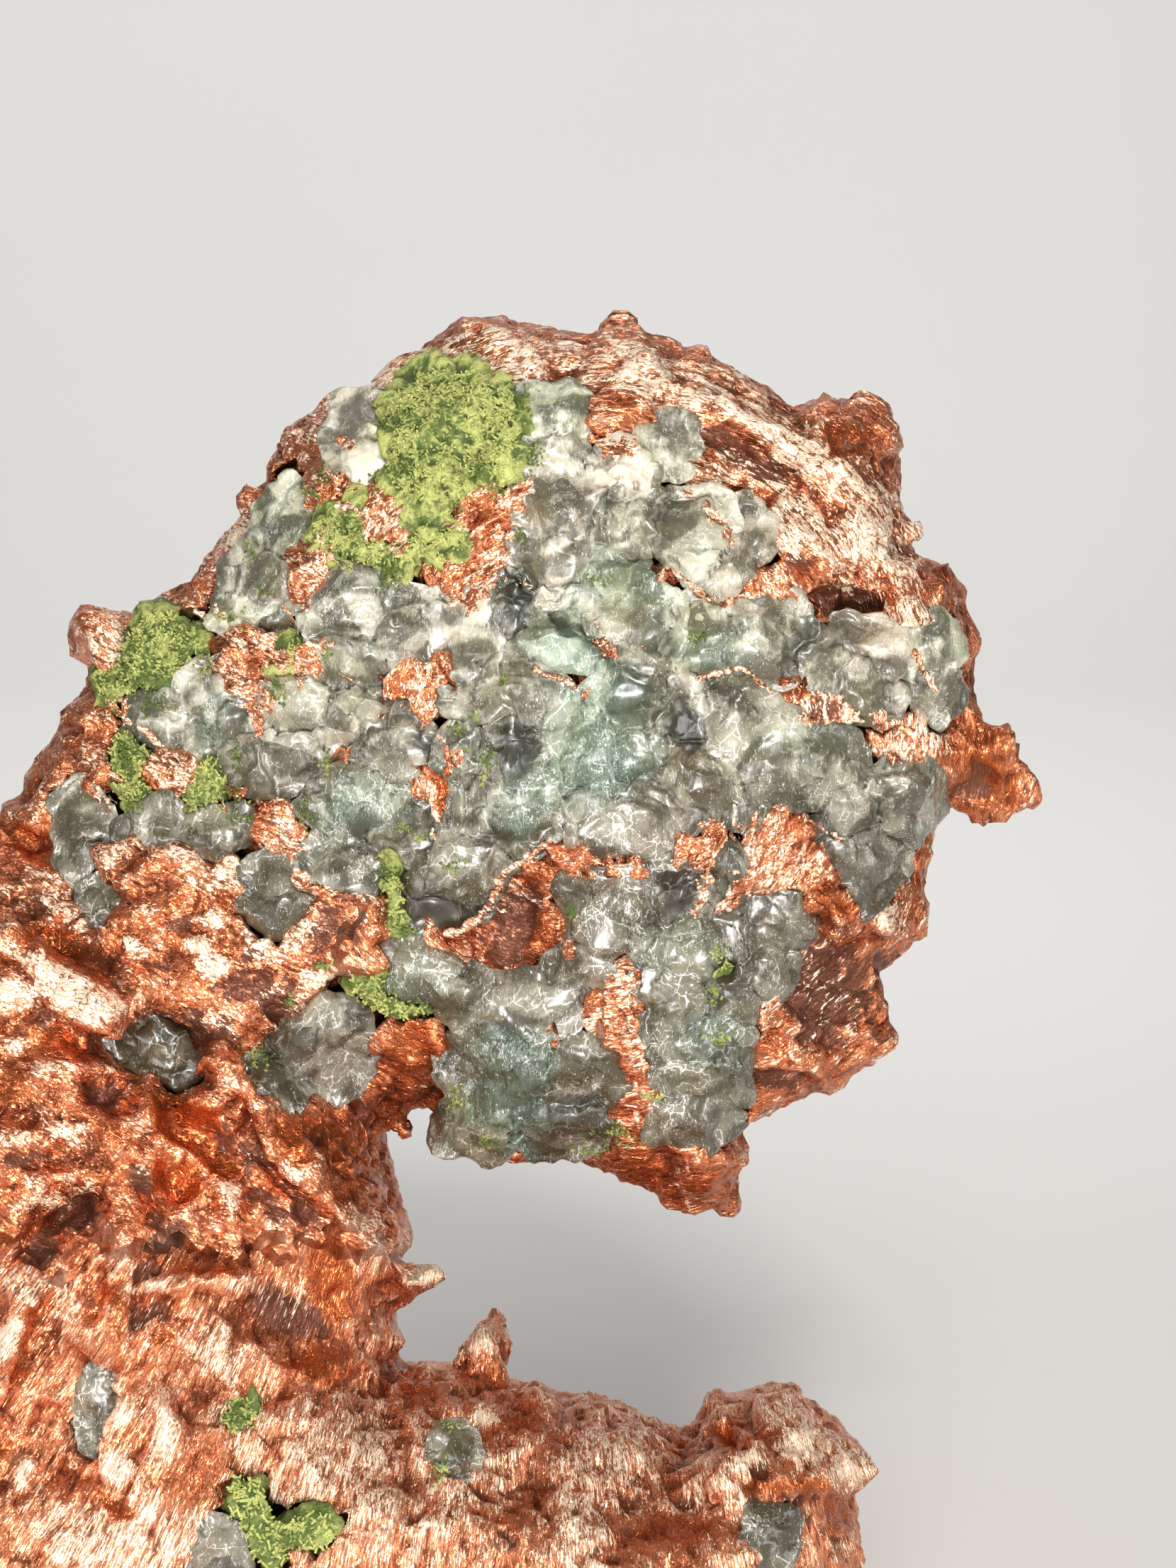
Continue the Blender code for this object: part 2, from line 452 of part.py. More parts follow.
def thinned(obj, triangles, collection):
    """The object with its faces thinned to about this many triangles."""
    bm = bmesh.new()
    bm.from_mesh(obj.data)
    bmesh.ops.triangulate(bm, faces=bm.faces)
    count = len(bm.faces)
    bm.to_mesh(obj.data)
    bm.free()
    modifier = obj.modifiers.new("thin", "DECIMATE")
    modifier.ratio = triangles / count
    return applied(obj, collection)


def flats_merged(obj):
    """Merges faces that lie in one plane, then makes triangles again."""
    bm = bmesh.new()
    bm.from_mesh(obj.data)
    bmesh.ops.remove_doubles(bm, verts=bm.verts, dist=0.000001)
    bmesh.ops.dissolve_limit(bm, angle_limit=math.radians(FLAT_DEG), verts=bm.verts, edges=bm.edges)
    bmesh.ops.triangulate(bm, faces=bm.faces)
    bm.to_mesh(obj.data)
    bm.free()


def boolean(obj, operation, cutters, collection):
    """Cuts or joins a collection of closed meshes, and empties that collection."""
    modifier = obj.modifiers.new("boolean", "BOOLEAN")
    modifier.operation = operation
    modifier.operand_type = "COLLECTION"
    modifier.collection = cutters
    made = applied(obj, collection)
    for cutter in list(cutters.objects):
        bpy.data.objects.remove(cutter)
    return made


def without_crumbs(obj):
    """Drops every loose body but the largest."""
    bm = bmesh.new()
    bm.from_mesh(obj.data)
    bmesh.ops.remove_doubles(bm, verts=bm.verts, dist=0.000001)
    left = set(bm.verts)
    bodies = []
    while left:
        body = {left.pop()}
        front = list(body)
        while front:
            near = {end for edge in front.pop().link_edges for end in edge.verts} & left
            left -= near
            body |= near
            front.extend(near)
        bodies.append(body)
    bodies.sort(key=len)
    crumbs = [vertex for body in bodies[:-1] for vertex in body]
    bmesh.ops.delete(bm, geom=crumbs, context="VERTS")
    bm.to_mesh(obj.data)
    bm.free()


def reach_towards(grain, direction):
    """The grain's half width in a direction on the face."""
    turn = math.radians(grain["turn"])
    u = direction[0] * math.cos(turn) + direction[1] * math.sin(turn)
    v = direction[1] * math.cos(turn) - direction[0] * math.sin(turn)
    return GRAIN_SPREAD / math.hypot(u / grain["width"], v / grain["height"])


def footprint(grain, rng):
    """Corners of a grain on the face: a jittered polygon round its ellipse."""
    turn = math.radians(grain["turn"])
    start = rng.uniform(0, math.tau)
    corners = []
    for index in range(GRAIN_SIDES):
        angle = start + math.tau * (index + rng.uniform(-0.22, 0.22)) / GRAIN_SIDES
        spread = GRAIN_SPREAD * rng.uniform(0.95, 1.08)
        u = spread * grain["width"] * math.cos(angle)
        v = spread * grain["height"] * math.sin(angle)
        corners.append((grain["x"] + u * math.cos(turn) - v * math.sin(turn),
                        grain["h"] + u * math.sin(turn) + v * math.cos(turn)))
    return corners


def clipped(corners, point, direction):
    """The part of a polygon that lies behind a line across the direction."""
    kept = []
    for start, end in zip(corners, corners[1:] + corners[:1]):
        before = (start[0] - point[0]) * direction[0] + (start[1] - point[1]) * direction[1]
        after = (end[0] - point[0]) * direction[0] + (end[1] - point[1]) * direction[1]
        if before <= 0:
            kept.append(start)
        if (before < 0 < after) or (after < 0 < before):
            share = before / (before - after)
            kept.append((start[0] + share * (end[0] - start[0]), start[1] + share * (end[1] - start[1])))
    return kept


def parted(grain, grains, corners, only, offset):
    """The polygon cut back, or held this far past, where the grain meets grains of other pieces."""
    for other in grains:
        if other["piece"] == grain["piece"] or other["side"] != grain["side"]:
            continue
        away = (other["x"] - grain["x"], other["h"] - grain["h"])
        length = math.hypot(*away)
        widest = max(grain["width"], grain["height"]) + max(other["width"], other["height"])
        if length > 1.3 * widest + FIT_GAP or not other["piece"].startswith(only):
            continue
        direction = (away[0] / length, away[1] / length)
        own = reach_towards(grain, direction)
        cut = length * own / (own + reach_towards(other, direction)) + offset
        point = (grain["x"] + direction[0] * cut, grain["h"] + direction[1] * cut)
        corners = clipped(corners, point, direction)
    return [corner for corner, before in zip(corners, corners[-1:] + corners[:-1])
            if math.dist(corner, before) > SHORTEST_SIDE]


def middle_of(corners):
    """The middle of a polygon's corners."""
    return sum(x for x, _ in corners) / len(corners), sum(h for _, h in corners) / len(corners)


def scaled(corners, factor):
    """The polygon scaled about its middle."""
    middle_x, middle_h = middle_of(corners)
    return [(middle_x + (x - middle_x) * factor, middle_h + (h - middle_h) * factor) for x, h in corners]


def grown(corners, gap):
    """The polygon scaled so that every side moves out by at least the gap."""
    middle = middle_of(corners)
    sides = zip(corners, corners[1:] + corners[:1])
    inside = min(float(line_distance(middle[0], middle[1], start, end)) for start, end in sides)
    return scaled(corners, 1 + gap / max(inside, 0.3))


def foot_level(grain, corners):
    """Depth of the flat underside of a grain."""
    depths = face_depth(*np.array([*corners, middle_of(corners)]).T, grain["side"])
    return math.floor(min(depths[-1] - ROOT, depths.min() - LEAST_ROOT) / STEP) * STEP


def hull_object(points, collection):
    """The convex hull of points, given in millimetres, as an object."""
    bm = bmesh.new()
    for point in points:
        bm.verts.new(Vector(point) * MM)
    hull = bmesh.ops.convex_hull(bm, input=bm.verts)
    bmesh.ops.delete(bm, geom=list(set(hull["geom_interior"])), context="VERTS")
    bmesh.ops.recalc_face_normals(bm, faces=bm.faces)
    return mesh_object("block", bm, collection)


def ring(corners, depths, side):
    """Points over a polygon's corners at these depths."""
    return [(x, side * depth, h) for (x, h), depth in zip(corners, depths)]


def grain_block(grain, corners, rng, collection):
    """A grain: a low faceted cap on straight walls."""
    side = grain["side"]
    rim = face_depth(*np.array(corners).T, side) + [rng.uniform(0.0, 0.14) for _ in corners]
    crown = scaled(corners, rng.uniform(0.35, 0.5))[::max(1, len(corners) // 2)][:2]
    lift = GRAIN_FRONT + GRAIN_SWELL * min(grain["width"], grain["height"])
    tops = face_depth(*np.array(crown).T, side) + [lift * rng.uniform(0.7, 1.3) for _ in crown]
    feet = np.full(len(corners), grain["foot"])
    points = ring(corners, rim, side) + ring(crown, tops, side) + ring(corners, feet, side)
    return hull_object(points, collection)


def socket_block(grain, corners, collection):
    """A straight-walled cutter, from one gap under the grain to well above the face."""
    side = grain["side"]
    tops = ring(corners, np.full(len(corners), SOCKET_TOP), side)
    feet = ring(corners, np.full(len(corners), grain["foot"] - STEP / 2), side)
    return hull_object(tops + feet, collection)


def cut_seat(obj):
    """Cuts the copper flat at the level that it stands on."""
    bm = bmesh.new()
    bm.from_mesh(obj.data)
    bmesh.ops.triangulate(bm, faces=bm.faces)
    made = bmesh.ops.bisect_plane(bm, geom=bm.verts[:] + bm.edges[:] + bm.faces[:], plane_co=(0, 0, 0),
                                  plane_no=(0, 0, -1), clear_outer=True)
    edges = [item for item in made["geom_cut"] if isinstance(item, bmesh.types.BMEdge)]
    bmesh.ops.triangle_fill(bm, use_beauty=True, edges=edges, normal=(0, 0, -1))
    bmesh.ops.recalc_face_normals(bm, faces=bm.faces)
    bm.to_mesh(obj.data)
    bm.free()


def merged(objects, cutters, collection):
    """The union of closed blocks."""
    first = objects[0]
    for obj in objects[1:]:
        collection.objects.unlink(obj)
        cutters.objects.link(obj)
    if len(objects) > 1:
        first = boolean(first, "UNION", cutters, collection)
    flats_merged(first)
    return first


def drawn_in(obj):
    """Draws what stands out of the face towards its middle, so that it is seen where it was laid out."""
    points = get_points(obj.data)
    share = np.clip((points[:, 2] - UNSEEN_FROM) / (SEEN_DOWN_TO - UNSEEN_FROM), 0, 1)
    factor = 1 + share * np.minimum(points[:, 1], 0) / EYE_DISTANCE
    points[:, 0] *= factor
    points[:, 2] *= factor
    set_points(obj.data, points)


def to_stance(obj):
    """Leans the face back, and sets it over the seat."""
    drawn_in(obj)
    lean = Matrix.Rotation(-math.radians(LEAN_DEG), 4, "X")
    obj.data.transform(Matrix.Translation(Vector(FRAME_MIDDLE) * MM) @ lean)


def finish_piece(obj, name, material, collection):
    """Names the piece, gives it its material and files it with the specimen."""
    obj.name = name
    obj.data.name = name
    obj.data.materials.clear()
    obj.data.materials.append(material)
    for holder in list(obj.users_collection):
        holder.objects.unlink(obj)
    collection.objects.link(obj)


def all_grains():
    """Every grain with its piece, side and place."""
    grains = []
    sets = [(QUARTZ, FRONT), (EPIDOTE, FRONT), ({"copper_mass": COPPER_BLOCKS}, FRONT),
            (BACK_QUARTZ, BACK), (BACK_EPIDOTE, BACK)]
    for pieces, side in sets:
        for piece, places in pieces.items():
            for x, h, width, height, turn in places:
                grains.append({"piece": piece, "side": side, "x": x, "h": h, "width": width,
                               "height": height, "turn": turn})
    return grains


def build_copper(bench):
    """The copper body before its sockets are cut."""
    pieces = [inflated_body(bench), flake(bench)]
    pieces += [nodule(place, bench) for place in RIM_NODULES + BACK_NODULES]
    pieces += [spike(place, bench) for place in SPIKES]
    body = remeshed(joined(pieces, bench), BODY_VOXEL, bench)
    carve_relief(body)
    return thinned(body, BODY_TRIANGLES, bench)


def build():
    """Builds every piece of the specimen."""
    clear_scene()
    specimen = make_collection("native_copper", True)
    bench = make_collection("bench", False)
    cutters = make_collection("cutters", False)
    copper = make_material("copper", (0.86, 0.42, 0.28), 0.32, 1.0)
    quartz = make_material("quartz", (0.66, 0.68, 0.66), 0.18, 0.0)
    epidote = make_material("epidote", (0.28, 0.38, 0.06), 0.55, 0.0)
    rng = random.Random(SEED)
    grains = all_grains()
    blocks = {}
    for grain in grains:
        if grain["piece"] == "copper_mass":
            continue
        corners = parted(grain, grains, footprint(grain, rng), "", -FIT_GAP / 2)
        grain["foot"] = foot_level(grain, corners)
        blocks.setdefault(grain["piece"], []).append(grain_block(grain, corners, rng, bench))
        socket_block(grain, parted(grain, grains, grown(corners, FIT_GAP), "copper", FIT_GAP / 2), cutters)

    body = boolean(build_copper(bench), "DIFFERENCE", cutters, bench)
    to_stance(body)
    cut_seat(body)
    flats_merged(body)
    without_crumbs(body)
    finish_piece(body, "copper_mass", copper, specimen)
    for name, own in blocks.items():
        piece = merged(own, cutters, bench)
        to_stance(piece)
        finish_piece(piece, name, quartz if name.startswith("quartz") else epidote, specimen)


build()
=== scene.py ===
import math
import random

import bmesh
import bpy
import numpy as np
from mathutils import Matrix, Vector, noise
from mathutils.bvhtree import BVHTree


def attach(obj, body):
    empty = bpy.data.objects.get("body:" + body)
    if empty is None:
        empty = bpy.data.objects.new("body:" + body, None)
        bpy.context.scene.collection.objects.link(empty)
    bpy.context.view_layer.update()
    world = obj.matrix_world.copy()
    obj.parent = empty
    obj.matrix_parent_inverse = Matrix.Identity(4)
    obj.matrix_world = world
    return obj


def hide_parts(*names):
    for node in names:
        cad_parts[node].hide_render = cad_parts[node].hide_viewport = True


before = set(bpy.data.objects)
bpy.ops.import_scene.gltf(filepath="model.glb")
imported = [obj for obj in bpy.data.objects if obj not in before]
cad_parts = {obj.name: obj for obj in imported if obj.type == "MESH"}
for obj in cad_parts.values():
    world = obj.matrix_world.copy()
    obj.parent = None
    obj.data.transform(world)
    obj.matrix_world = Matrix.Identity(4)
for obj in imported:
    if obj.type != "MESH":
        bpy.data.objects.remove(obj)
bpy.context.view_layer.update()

# Native copper mass: raw metal, torn and drawn out between the grains of the rock it grew in.
# Its skin is creased like foil along the way that it was drawn, hollows and furrows carry painted shade,
# bright flakes carry painted highlight, and the rim has small teeth and knobs. It is one piece, and everything else is
# set in it.

# Places are given on the face, a plane that leans back through the middle of the knob: x to the right,
# h upwards and depth out of it, in millimetres. The eye is straight in front of it.
MM = 0.001
LEAN = math.radians(15)
FACE_MIDDLE = np.array((8.5, 8.0, 33.0))
FACE_AXES = np.array((
    (1, 0, 0),
    (0, math.sin(LEAN), math.cos(LEAN)),
    (0, -math.cos(LEAN), math.sin(LEAN)),
))
EYE_DISTANCE = 130.0
COPPER_VOXEL = 0.18
COPPER_TRIANGLES = 192000
COPPER_ROUNDS = 5
SEAT_HEIGHT = 0.15

# How the metal was drawn: round the knob, down the foot like a fan, and down a slope on the left
KNOB_MIDDLE = (0.5, 2.0)
KNOB_RADIUS = 11.0
FOOT_FAN = (-1.0, 6.0)
FOOT_RADIUS = 32.0
LEFT_SLOPE = math.radians(-28)
FIBRE_STRETCH = (0.6, 1.9, 1.0)
SCALE_STRETCH = (1.5, 0.9, 1.0)

# How high the ridges stand, the sheets and the lips of the shells rise, and the shells sink
FOLD_HEIGHT = 1.1
SHEET_RISE = 0.18
LIP_RISE = 0.14
LIP_WIDTH = 0.13
SHELL_DIP = 0.06

# How far from a grain the copper begins to close up to it, and how far it creeps over the gap and stands up
GRAIN_REACH = 1.2
CREEP = 0.5
CREEP_RISE = 0.2

# Colours of the metal and its skin: the furrow colour is painted shade in furrows and hollows, the stain colour
# also darkens the hollows as painted shade, and cream is painted highlight on the bright flakes
BRICK, SALMON, RUST = (0.61, 0.175, 0.07), (0.87, 0.375, 0.20), (0.33, 0.085, 0.036)
ORANGE, STAIN_AND_SHADE, FURROW_SHADE = (0.43, 0.095, 0.022), (0.10, 0.048, 0.031), (0.13, 0.04, 0.02)
# Cream is painted highlight on the bright flakes
CRACK, CREAM_HIGHLIGHT = (0.20, 0.065, 0.035), (1.0, 0.82, 0.61)

# Small teeth and nicks on the rim: x, h, how far out, width
RIM_TEETH = [
    (-20.4, -1.2, 0.3, 0.5), (-19.8, -0.4, -0.2, 0.3), (-18.3, 2.4, 0.3, 0.5), (-17.6, 3.8, -0.2, 0.4),
    (-17.9, 5.6, 0.2, 0.5), (-15.9, 5.9, -0.2, 0.4), (-13.4, 7.8, 0.2, 0.4), (-11.9, 10.1, 0.35, 0.35),
    (-11.3, 10.6, -0.3, 0.3), (-10.4, 12.2, 0.25, 0.4), (-8.8, 13.6, 0.2, 0.5), (-6.7, 15.0, 0.25, 0.5),
    (-4.3, 16.5, 0.2, 0.6), (0.2, 15.6, -0.15, 0.4), (1.2, 16.2, 0.3, 0.8), (3.9, 15.1, 0.15, 0.4),
    (8.3, 13.4, 0.2, 0.5), (10.1, 13.1, 0.25, 0.5), (10.7, 12.1, 0.25, 0.4), (10.4, 11.3, -0.25, 0.3),
    (11.5, 9.0, 0.25, 0.3), (11.4, 8.6, -0.2, 0.3), (12.6, 8.0, 0.2, 0.4), (13.1, 6.8, 0.2, 0.4),
    (13.0, 6.2, -0.15, 0.3), (13.8, 5.2, 0.25, 0.5), (11.6, -5.2, 0.25, 0.5), (10.2, -6.6, -0.3, 0.5),
    (10.7, -9.0, 0.35, 0.5), (9.0, -10.7, 0.15, 0.4), (5.6, -12.2, -0.25, 0.4), (5.8, -12.9, 0.2, 0.3),
    (5.1, -15.1, 0.3, 0.4), (4.3, -15.0, -0.2, 0.3), (3.6, -15.3, 0.25, 0.3), (2.9, -14.3, -0.3, 0.3),
    (-6.5, -15.9, 0.35, 0.5), (-6.9, -16.7, -0.3, 0.3), (-7.3, -18.6, -0.15, 0.3), (-6.8, -19.6, 0.3, 0.4),
    (-7.2, -20.6, -0.15, 0.3), (-6.6, -21.4, -0.2, 0.3), (-5.7, -20.8, 0.3, 0.4), (-2.6, -21.7, -0.2, 0.3),
    (-1.9, -21.5, 0.3, 0.3), (-0.9, -22.3, -0.2, 0.3), (-0.1, -21.9, 0.25, 0.4), (0.9, -22.5, -0.15, 0.3),
    (2.2, -22.9, 0.2, 0.4), (3.3, -23.8, -0.35, 0.4), (4.6, -21.8, 0.35, 0.3), (5.9, -22.5, -0.25, 0.3),
    (7.1, -21.6, 0.25, 0.5), (8.1, -22.8, -0.15, 0.3), (9.9, -24.1, 0.35, 0.5), (9.6, -25.2, -0.2, 0.4),
]

# Beads of copper joined to the mass: x, h, depth, radius
BEADS = [
    (-5.45, -17.05, 1.9, 0.42), (-5.75, -17.15, 1.85, 0.36), (-6.1, -17.3, 1.75, 0.4), (-6.6, -17.45, 1.7, 0.5),
    (-7.1, -17.7, 1.6, 0.6), (-6.45, -12.05, 1.2, 0.22), (-6.6, -11.85, 1.2, 0.18), (-6.9, -11.6, 1.15, 0.24),
    (-3.75, -19.45, 0.4, 0.28), (-3.8, -19.9, 0.45, 0.4), (-3.55, -20.4, 0.5, 0.52), (-4.1, -20.5, 0.5, 0.48),
    (-3.3, -20.9, 0.5, 0.6), (-4.3, -21.2, 0.6, 0.6), (4.62, -22.0, 0.3, 0.26), (4.6, -22.4, 0.3, 0.38),
    (-20.5, -1.3, 0.4, 0.3), (-7.3, -20.7, 1.2, 0.35), (-5.8, -21.0, 1.0, 0.4), (-5.2, -21.3, 1.2, 0.4),
    (-2.0, -21.8, 0.9, 0.4), (11.45, 8.8, 0.3, 0.28), (-12.0, 9.9, 0.5, 0.35), (1.1, 15.9, 0.4, 0.4),
]

# Darker places, orange places and places of painted highlight on the copper: x, h, half width, half height, turn,
# strength
DARK_PLACES = [
    (-14.6, -7.2, 2.2, 1.2, -15, 0.45), (-12.0, -15.0, 1.6, 1.0, -20, 0.4), (-8.8, -5.0, 2.2, 1.2, 0, 0.7),
    (-11.2, -7.5, 2.3, 1.0, -20, 0.85), (-9.0, -12.8, 1.6, 0.6, -30, 0.5), (-8.4, -4.2, 1.6, 0.8, 0, 0.7),
    (13.4, -0.2, 1.6, 1.6, 0, 0.6), (-9.6, -5.4, 1.2, 0.7, 0, 0.5), (5.4, 11.4, 3.2, 0.5, -32, 1.0),
    (4.2, 12.2, 1.5, 0.6, -20, 0.9), (6.9, 10.2, 1.8, 0.4, -40, 0.8), (2.4, 14.2, 1.6, 0.3, -30, 0.5),
    (9.1, 6.3, 1.3, 0.7, -5, 1.0), (7.3, 8.0, 0.7, 0.35, -20, 0.9), (-2.7, -5.0, 1.4, 1.9, 0, 0.85),
    (8.2, -7.4, 2.2, 2.3, 0, 0.95), (6.6, -10.4, 1.0, 0.5, -10, 1.0), (8.0, 2.7, 1.5, 0.5, -10, 0.75),
    (-10.3, -18.8, 1.5, 0.8, -15, 1.0), (-11.2, -18.0, 0.9, 0.6, -30, 0.9), (-12.8, -12.4, 0.5, 1.0, 20, 0.8),
    (-11.9, -13.2, 0.5, 1.3, 35, 0.8), (-10.9, -15.0, 1.8, 0.9, -20, 0.7), (-15.0, -16.0, 1.1, 0.9, 0, 0.8),
    (-15.8, -13.8, 0.6, 0.8, 0, 0.95), (-15.5, -18.8, 1.0, 0.6, 0, 0.6), (-16.0, -19.0, 0.3, 0.5, 0, 1.0),
    (-15.6, -17.2, 0.7, 0.35, 0, 1.0), (-18.0, -15.2, 0.9, 0.8, 0, 0.9), (-19.2, -16.4, 0.7, 0.7, 0, 1.0),
    (6.0, -24.1, 0.6, 0.35, -10, 1.0), (7.2, -25.5, 0.9, 0.6, -30, 0.9), (1.2, -24.4, 0.5, 1.1, 20, 0.5),
    (1.3, -26.3, 0.5, 0.4, 0, 0.5), (-17.0, -11.0, 0.9, 0.5, 0, 0.9), (-20.0, -13.2, 1.2, 0.4, 15, 0.7),
    (-9.2, -4.6, 0.8, 1.2, 0, 0.8), (0.9, 4.6, 0.8, 0.5, -20, 1.0), (-0.4, 3.7, 0.7, 0.5, 0, 1.0),
    (-5.6, 3.0, 0.8, 0.5, 0, 0.5), (9.2, 12.0, 0.5, 0.4, 20, 0.8), (1.2, -7.6, 0.8, 0.7, 0, 0.5),
    (-14.4, -4.9, 0.7, 0.3, 20, 0.9), (-11.6, -5.9, 0.9, 0.5, 10, 0.8), (-10.9, -7.0, 1.2, 0.5, 0, 0.7),
    (-13.4, -8.6, 2.6, 0.7, -15, 0.8), (-11.6, -8.9, 1.0, 0.5, 20, 0.6), (-16.0, -7.0, 1.4, 0.4, 0, 0.6),
    (-7.2, -16.4, 0.7, 1.0, 0, 0.5), (4.4, -23.2, 0.5, 0.6, 0, 0.5), (-4.6, -21.4, 0.8, 0.4, 0, 0.7),
    (-4.4, -25.0, 1.0, 0.4, 0, 0.7), (-2.8, -26.8, 1.2, 0.6, -20, 0.6), (8.6, -26.9, 1.0, 0.6, -20, 0.7),
    (-7.6, -19.6, 0.5, 0.8, 0, 0.5), (-11.0, -23.6, 1.6, 0.5, 0, 0.4), (3.4, -25.5, 0.9, 0.3, -10, 0.5),
    (11.0, -6.2, 0.9, 0.5, -20, 0.6), (-19.2, -8.4, 0.4, 0.6, 0, 0.6), (-16.4, -6.2, 0.5, 0.5, 0, 0.6),
]
ORANGE_PLACES = [
    (-8.6, -13.2, 0.8, 1.0, 0, 0.8), (-6.0, -9.3, 1.2, 1.0, 0, 0.8), (-2.4, -5.6, 1.2, 0.9, 0, 0.7),
    (8.4, -4.2, 0.8, 0.9, 40, 0.9), (4.6, -14.2, 0.9, 0.8, 0, 0.8), (2.0, -13.6, 1.0, 0.5, 0, 0.8),
    (-17.0, -12.0, 1.2, 0.5, -30, 0.6), (-13.0, -25.6, 2.6, 0.8, -30, 0.7), (3.2, -26.4, 2.4, 0.5, 3, 0.9),
    (12.6, 7.5, 0.5, 0.7, -40, 0.9), (2.8, 15.4, 2.6, 0.3, -14, 0.5), (-4.4, 15.6, 1.8, 0.4, -8, 0.5),
    (14.0, 0.4, 1.2, 1.6, 0, 0.7), (-19.6, -15.8, 1.0, 0.4, 10, 0.7), (-18.9, -9.0, 1.6, 0.7, -20, 0.7),
    (-19.9, -2.0, 1.4, 0.7, 0, 0.8), (-1.2, -23.4, 0.5, 0.8, 0, 0.7), (-2.6, -22.4, 0.6, 0.5, 0, 0.7),
    (-5.9, -21.4, 0.6, 0.4, 0, 0.9), (-3.2, -21.0, 0.3, 0.9, 15, 0.7), (-20.4, -10.6, 0.9, 0.7, 0, 0.8),
    (-8.6, -14.6, 1.0, 0.6, -30, 0.5), (-9.8, -12.0, 1.4, 0.5, 0, 0.8), (-12.3, -19.2, 0.4, 0.6, 0, 0.8),
]
HIGHLIGHT_PLACES = [
    (0.6, -24.6, 2.4, 2.2, 0, 0.65), (4.4, -25.6, 2.0, 1.6, 0, 0.45), (-6.0, -25.6, 2.0, 2.0, 0, 0.4),
    (-7.9, 14.0, 2.2, 0.7, 30, 0.8), (-12.4, 8.6, 1.2, 1.0, 40, 0.7), (-15.6, 6.2, 1.2, 0.8, 35, 0.5),
    (2.6, 14.4, 3.4, 1.0, -18, 1.0), (8.2, 11.0, 3.4, 1.4, -40, 1.0), (10.2, 8.2, 1.6, 1.8, -40, 1.0),
    (6.0, 12.9, 3.2, 0.6, -33, 1.0), (5.0, 10.4, 1.6, 0.6, -40, 0.9), (11.4, 5.8, 1.4, 0.8, -20, 0.9),
    (-2.0, 15.0, 4.0, 1.0, -5, 0.8), (9.6, 8.8, 2.4, 2.2, -45, 0.9), (7.4, 9.0, 1.4, 1.0, -35, 0.9),
    (4.4, 9.9, 0.8, 0.9, 0, 0.9), (-12.2, 2.6, 0.4, 1.2, 10, 0.9), (-3.0, 14.6, 2.0, 0.6, 0, 0.9),
    (-11.0, -5.4, 1.4, 0.8, 20, 0.6), (6.6, -2.4, 1.4, 0.7, -10, 0.7), (6.4, -7.0, 0.5, 1.4, -40, 0.8),
    (12.0, 2.2, 0.6, 1.6, 10, 0.8), (10.8, -4.6, 1.0, 0.5, -10, 0.7), (-16.4, -26.6, 3.0, 1.6, 20, 0.7),
    (-8.2, -24.0, 2.6, 2.4, 0, 0.7), (-6.6, 9.2, 1.0, 0.9, 0, 0.6), (-18.4, -12.2, 1.6, 0.5, -30, 0.8),
    (-15.7, -12.5, 0.9, 0.4, -30, 0.8), (-18.8, -14.6, 1.6, 0.3, 14, 0.9), (-20.0, -12.6, 0.9, 0.6, 0, 0.7),
    (-8.1, -15.3, 0.9, 0.6, -30, 0.8), (-13.0, -19.8, 1.1, 1.1, 0, 0.8), (-18.6, -18.2, 0.9, 0.9, 0, 0.6),
    (-19.6, -3.9, 1.4, 1.0, 0, 0.6), (-20.2, -9.2, 0.6, 0.9, 0, 0.7), (-19.4, -9.9, 1.4, 0.3, 0, 0.7),
    (7.6, -22.9, 1.6, 0.7, -35, 0.7), (9.2, -24.2, 0.8, 0.8, 0, 0.7), (0.4, -23.0, 1.0, 0.8, 0, 0.5),
    (-0.2, -27.0, 1.0, 1.4, 10, 0.8), (-3.0, -24.6, 0.7, 1.0, 20, 0.6), (-17.8, -26.0, 1.0, 0.5, -30, 0.7),
    (-9.6, 13.4, 0.8, 1.6, -35, 0.5), (-16.6, 5.0, 0.8, 1.0, 30, 0.7), (-9.4, -6.8, 0.8, 0.4, 0, 0.7),
    (10.9, 1.4, 0.7, 0.7, 0, 0.8), (-13.4, -3.2, 1.6, 0.7, -10, 0.7), (-16.8, -2.6, 0.6, 0.5, 0, 0.8),
    (-7.6, -16.2, 0.5, 0.3, -30, 0.9), (-7.8, -16.9, 0.4, 0.2, 0, 0.9), (-15.0, -22.0, 1.6, 1.6, 20, 0.4),
]

# Pockets that stay open: x, h, half width, half height, turn, strength
OPEN_POCKETS = [(-15.2, -9.6, 2.6, 1.9, -20, 1.0), (-10.2, -9.8, 2.6, 2.0, 0, 0.8), (-17.2, -4.2, 0.8, 1.0, 0, 0.8)]
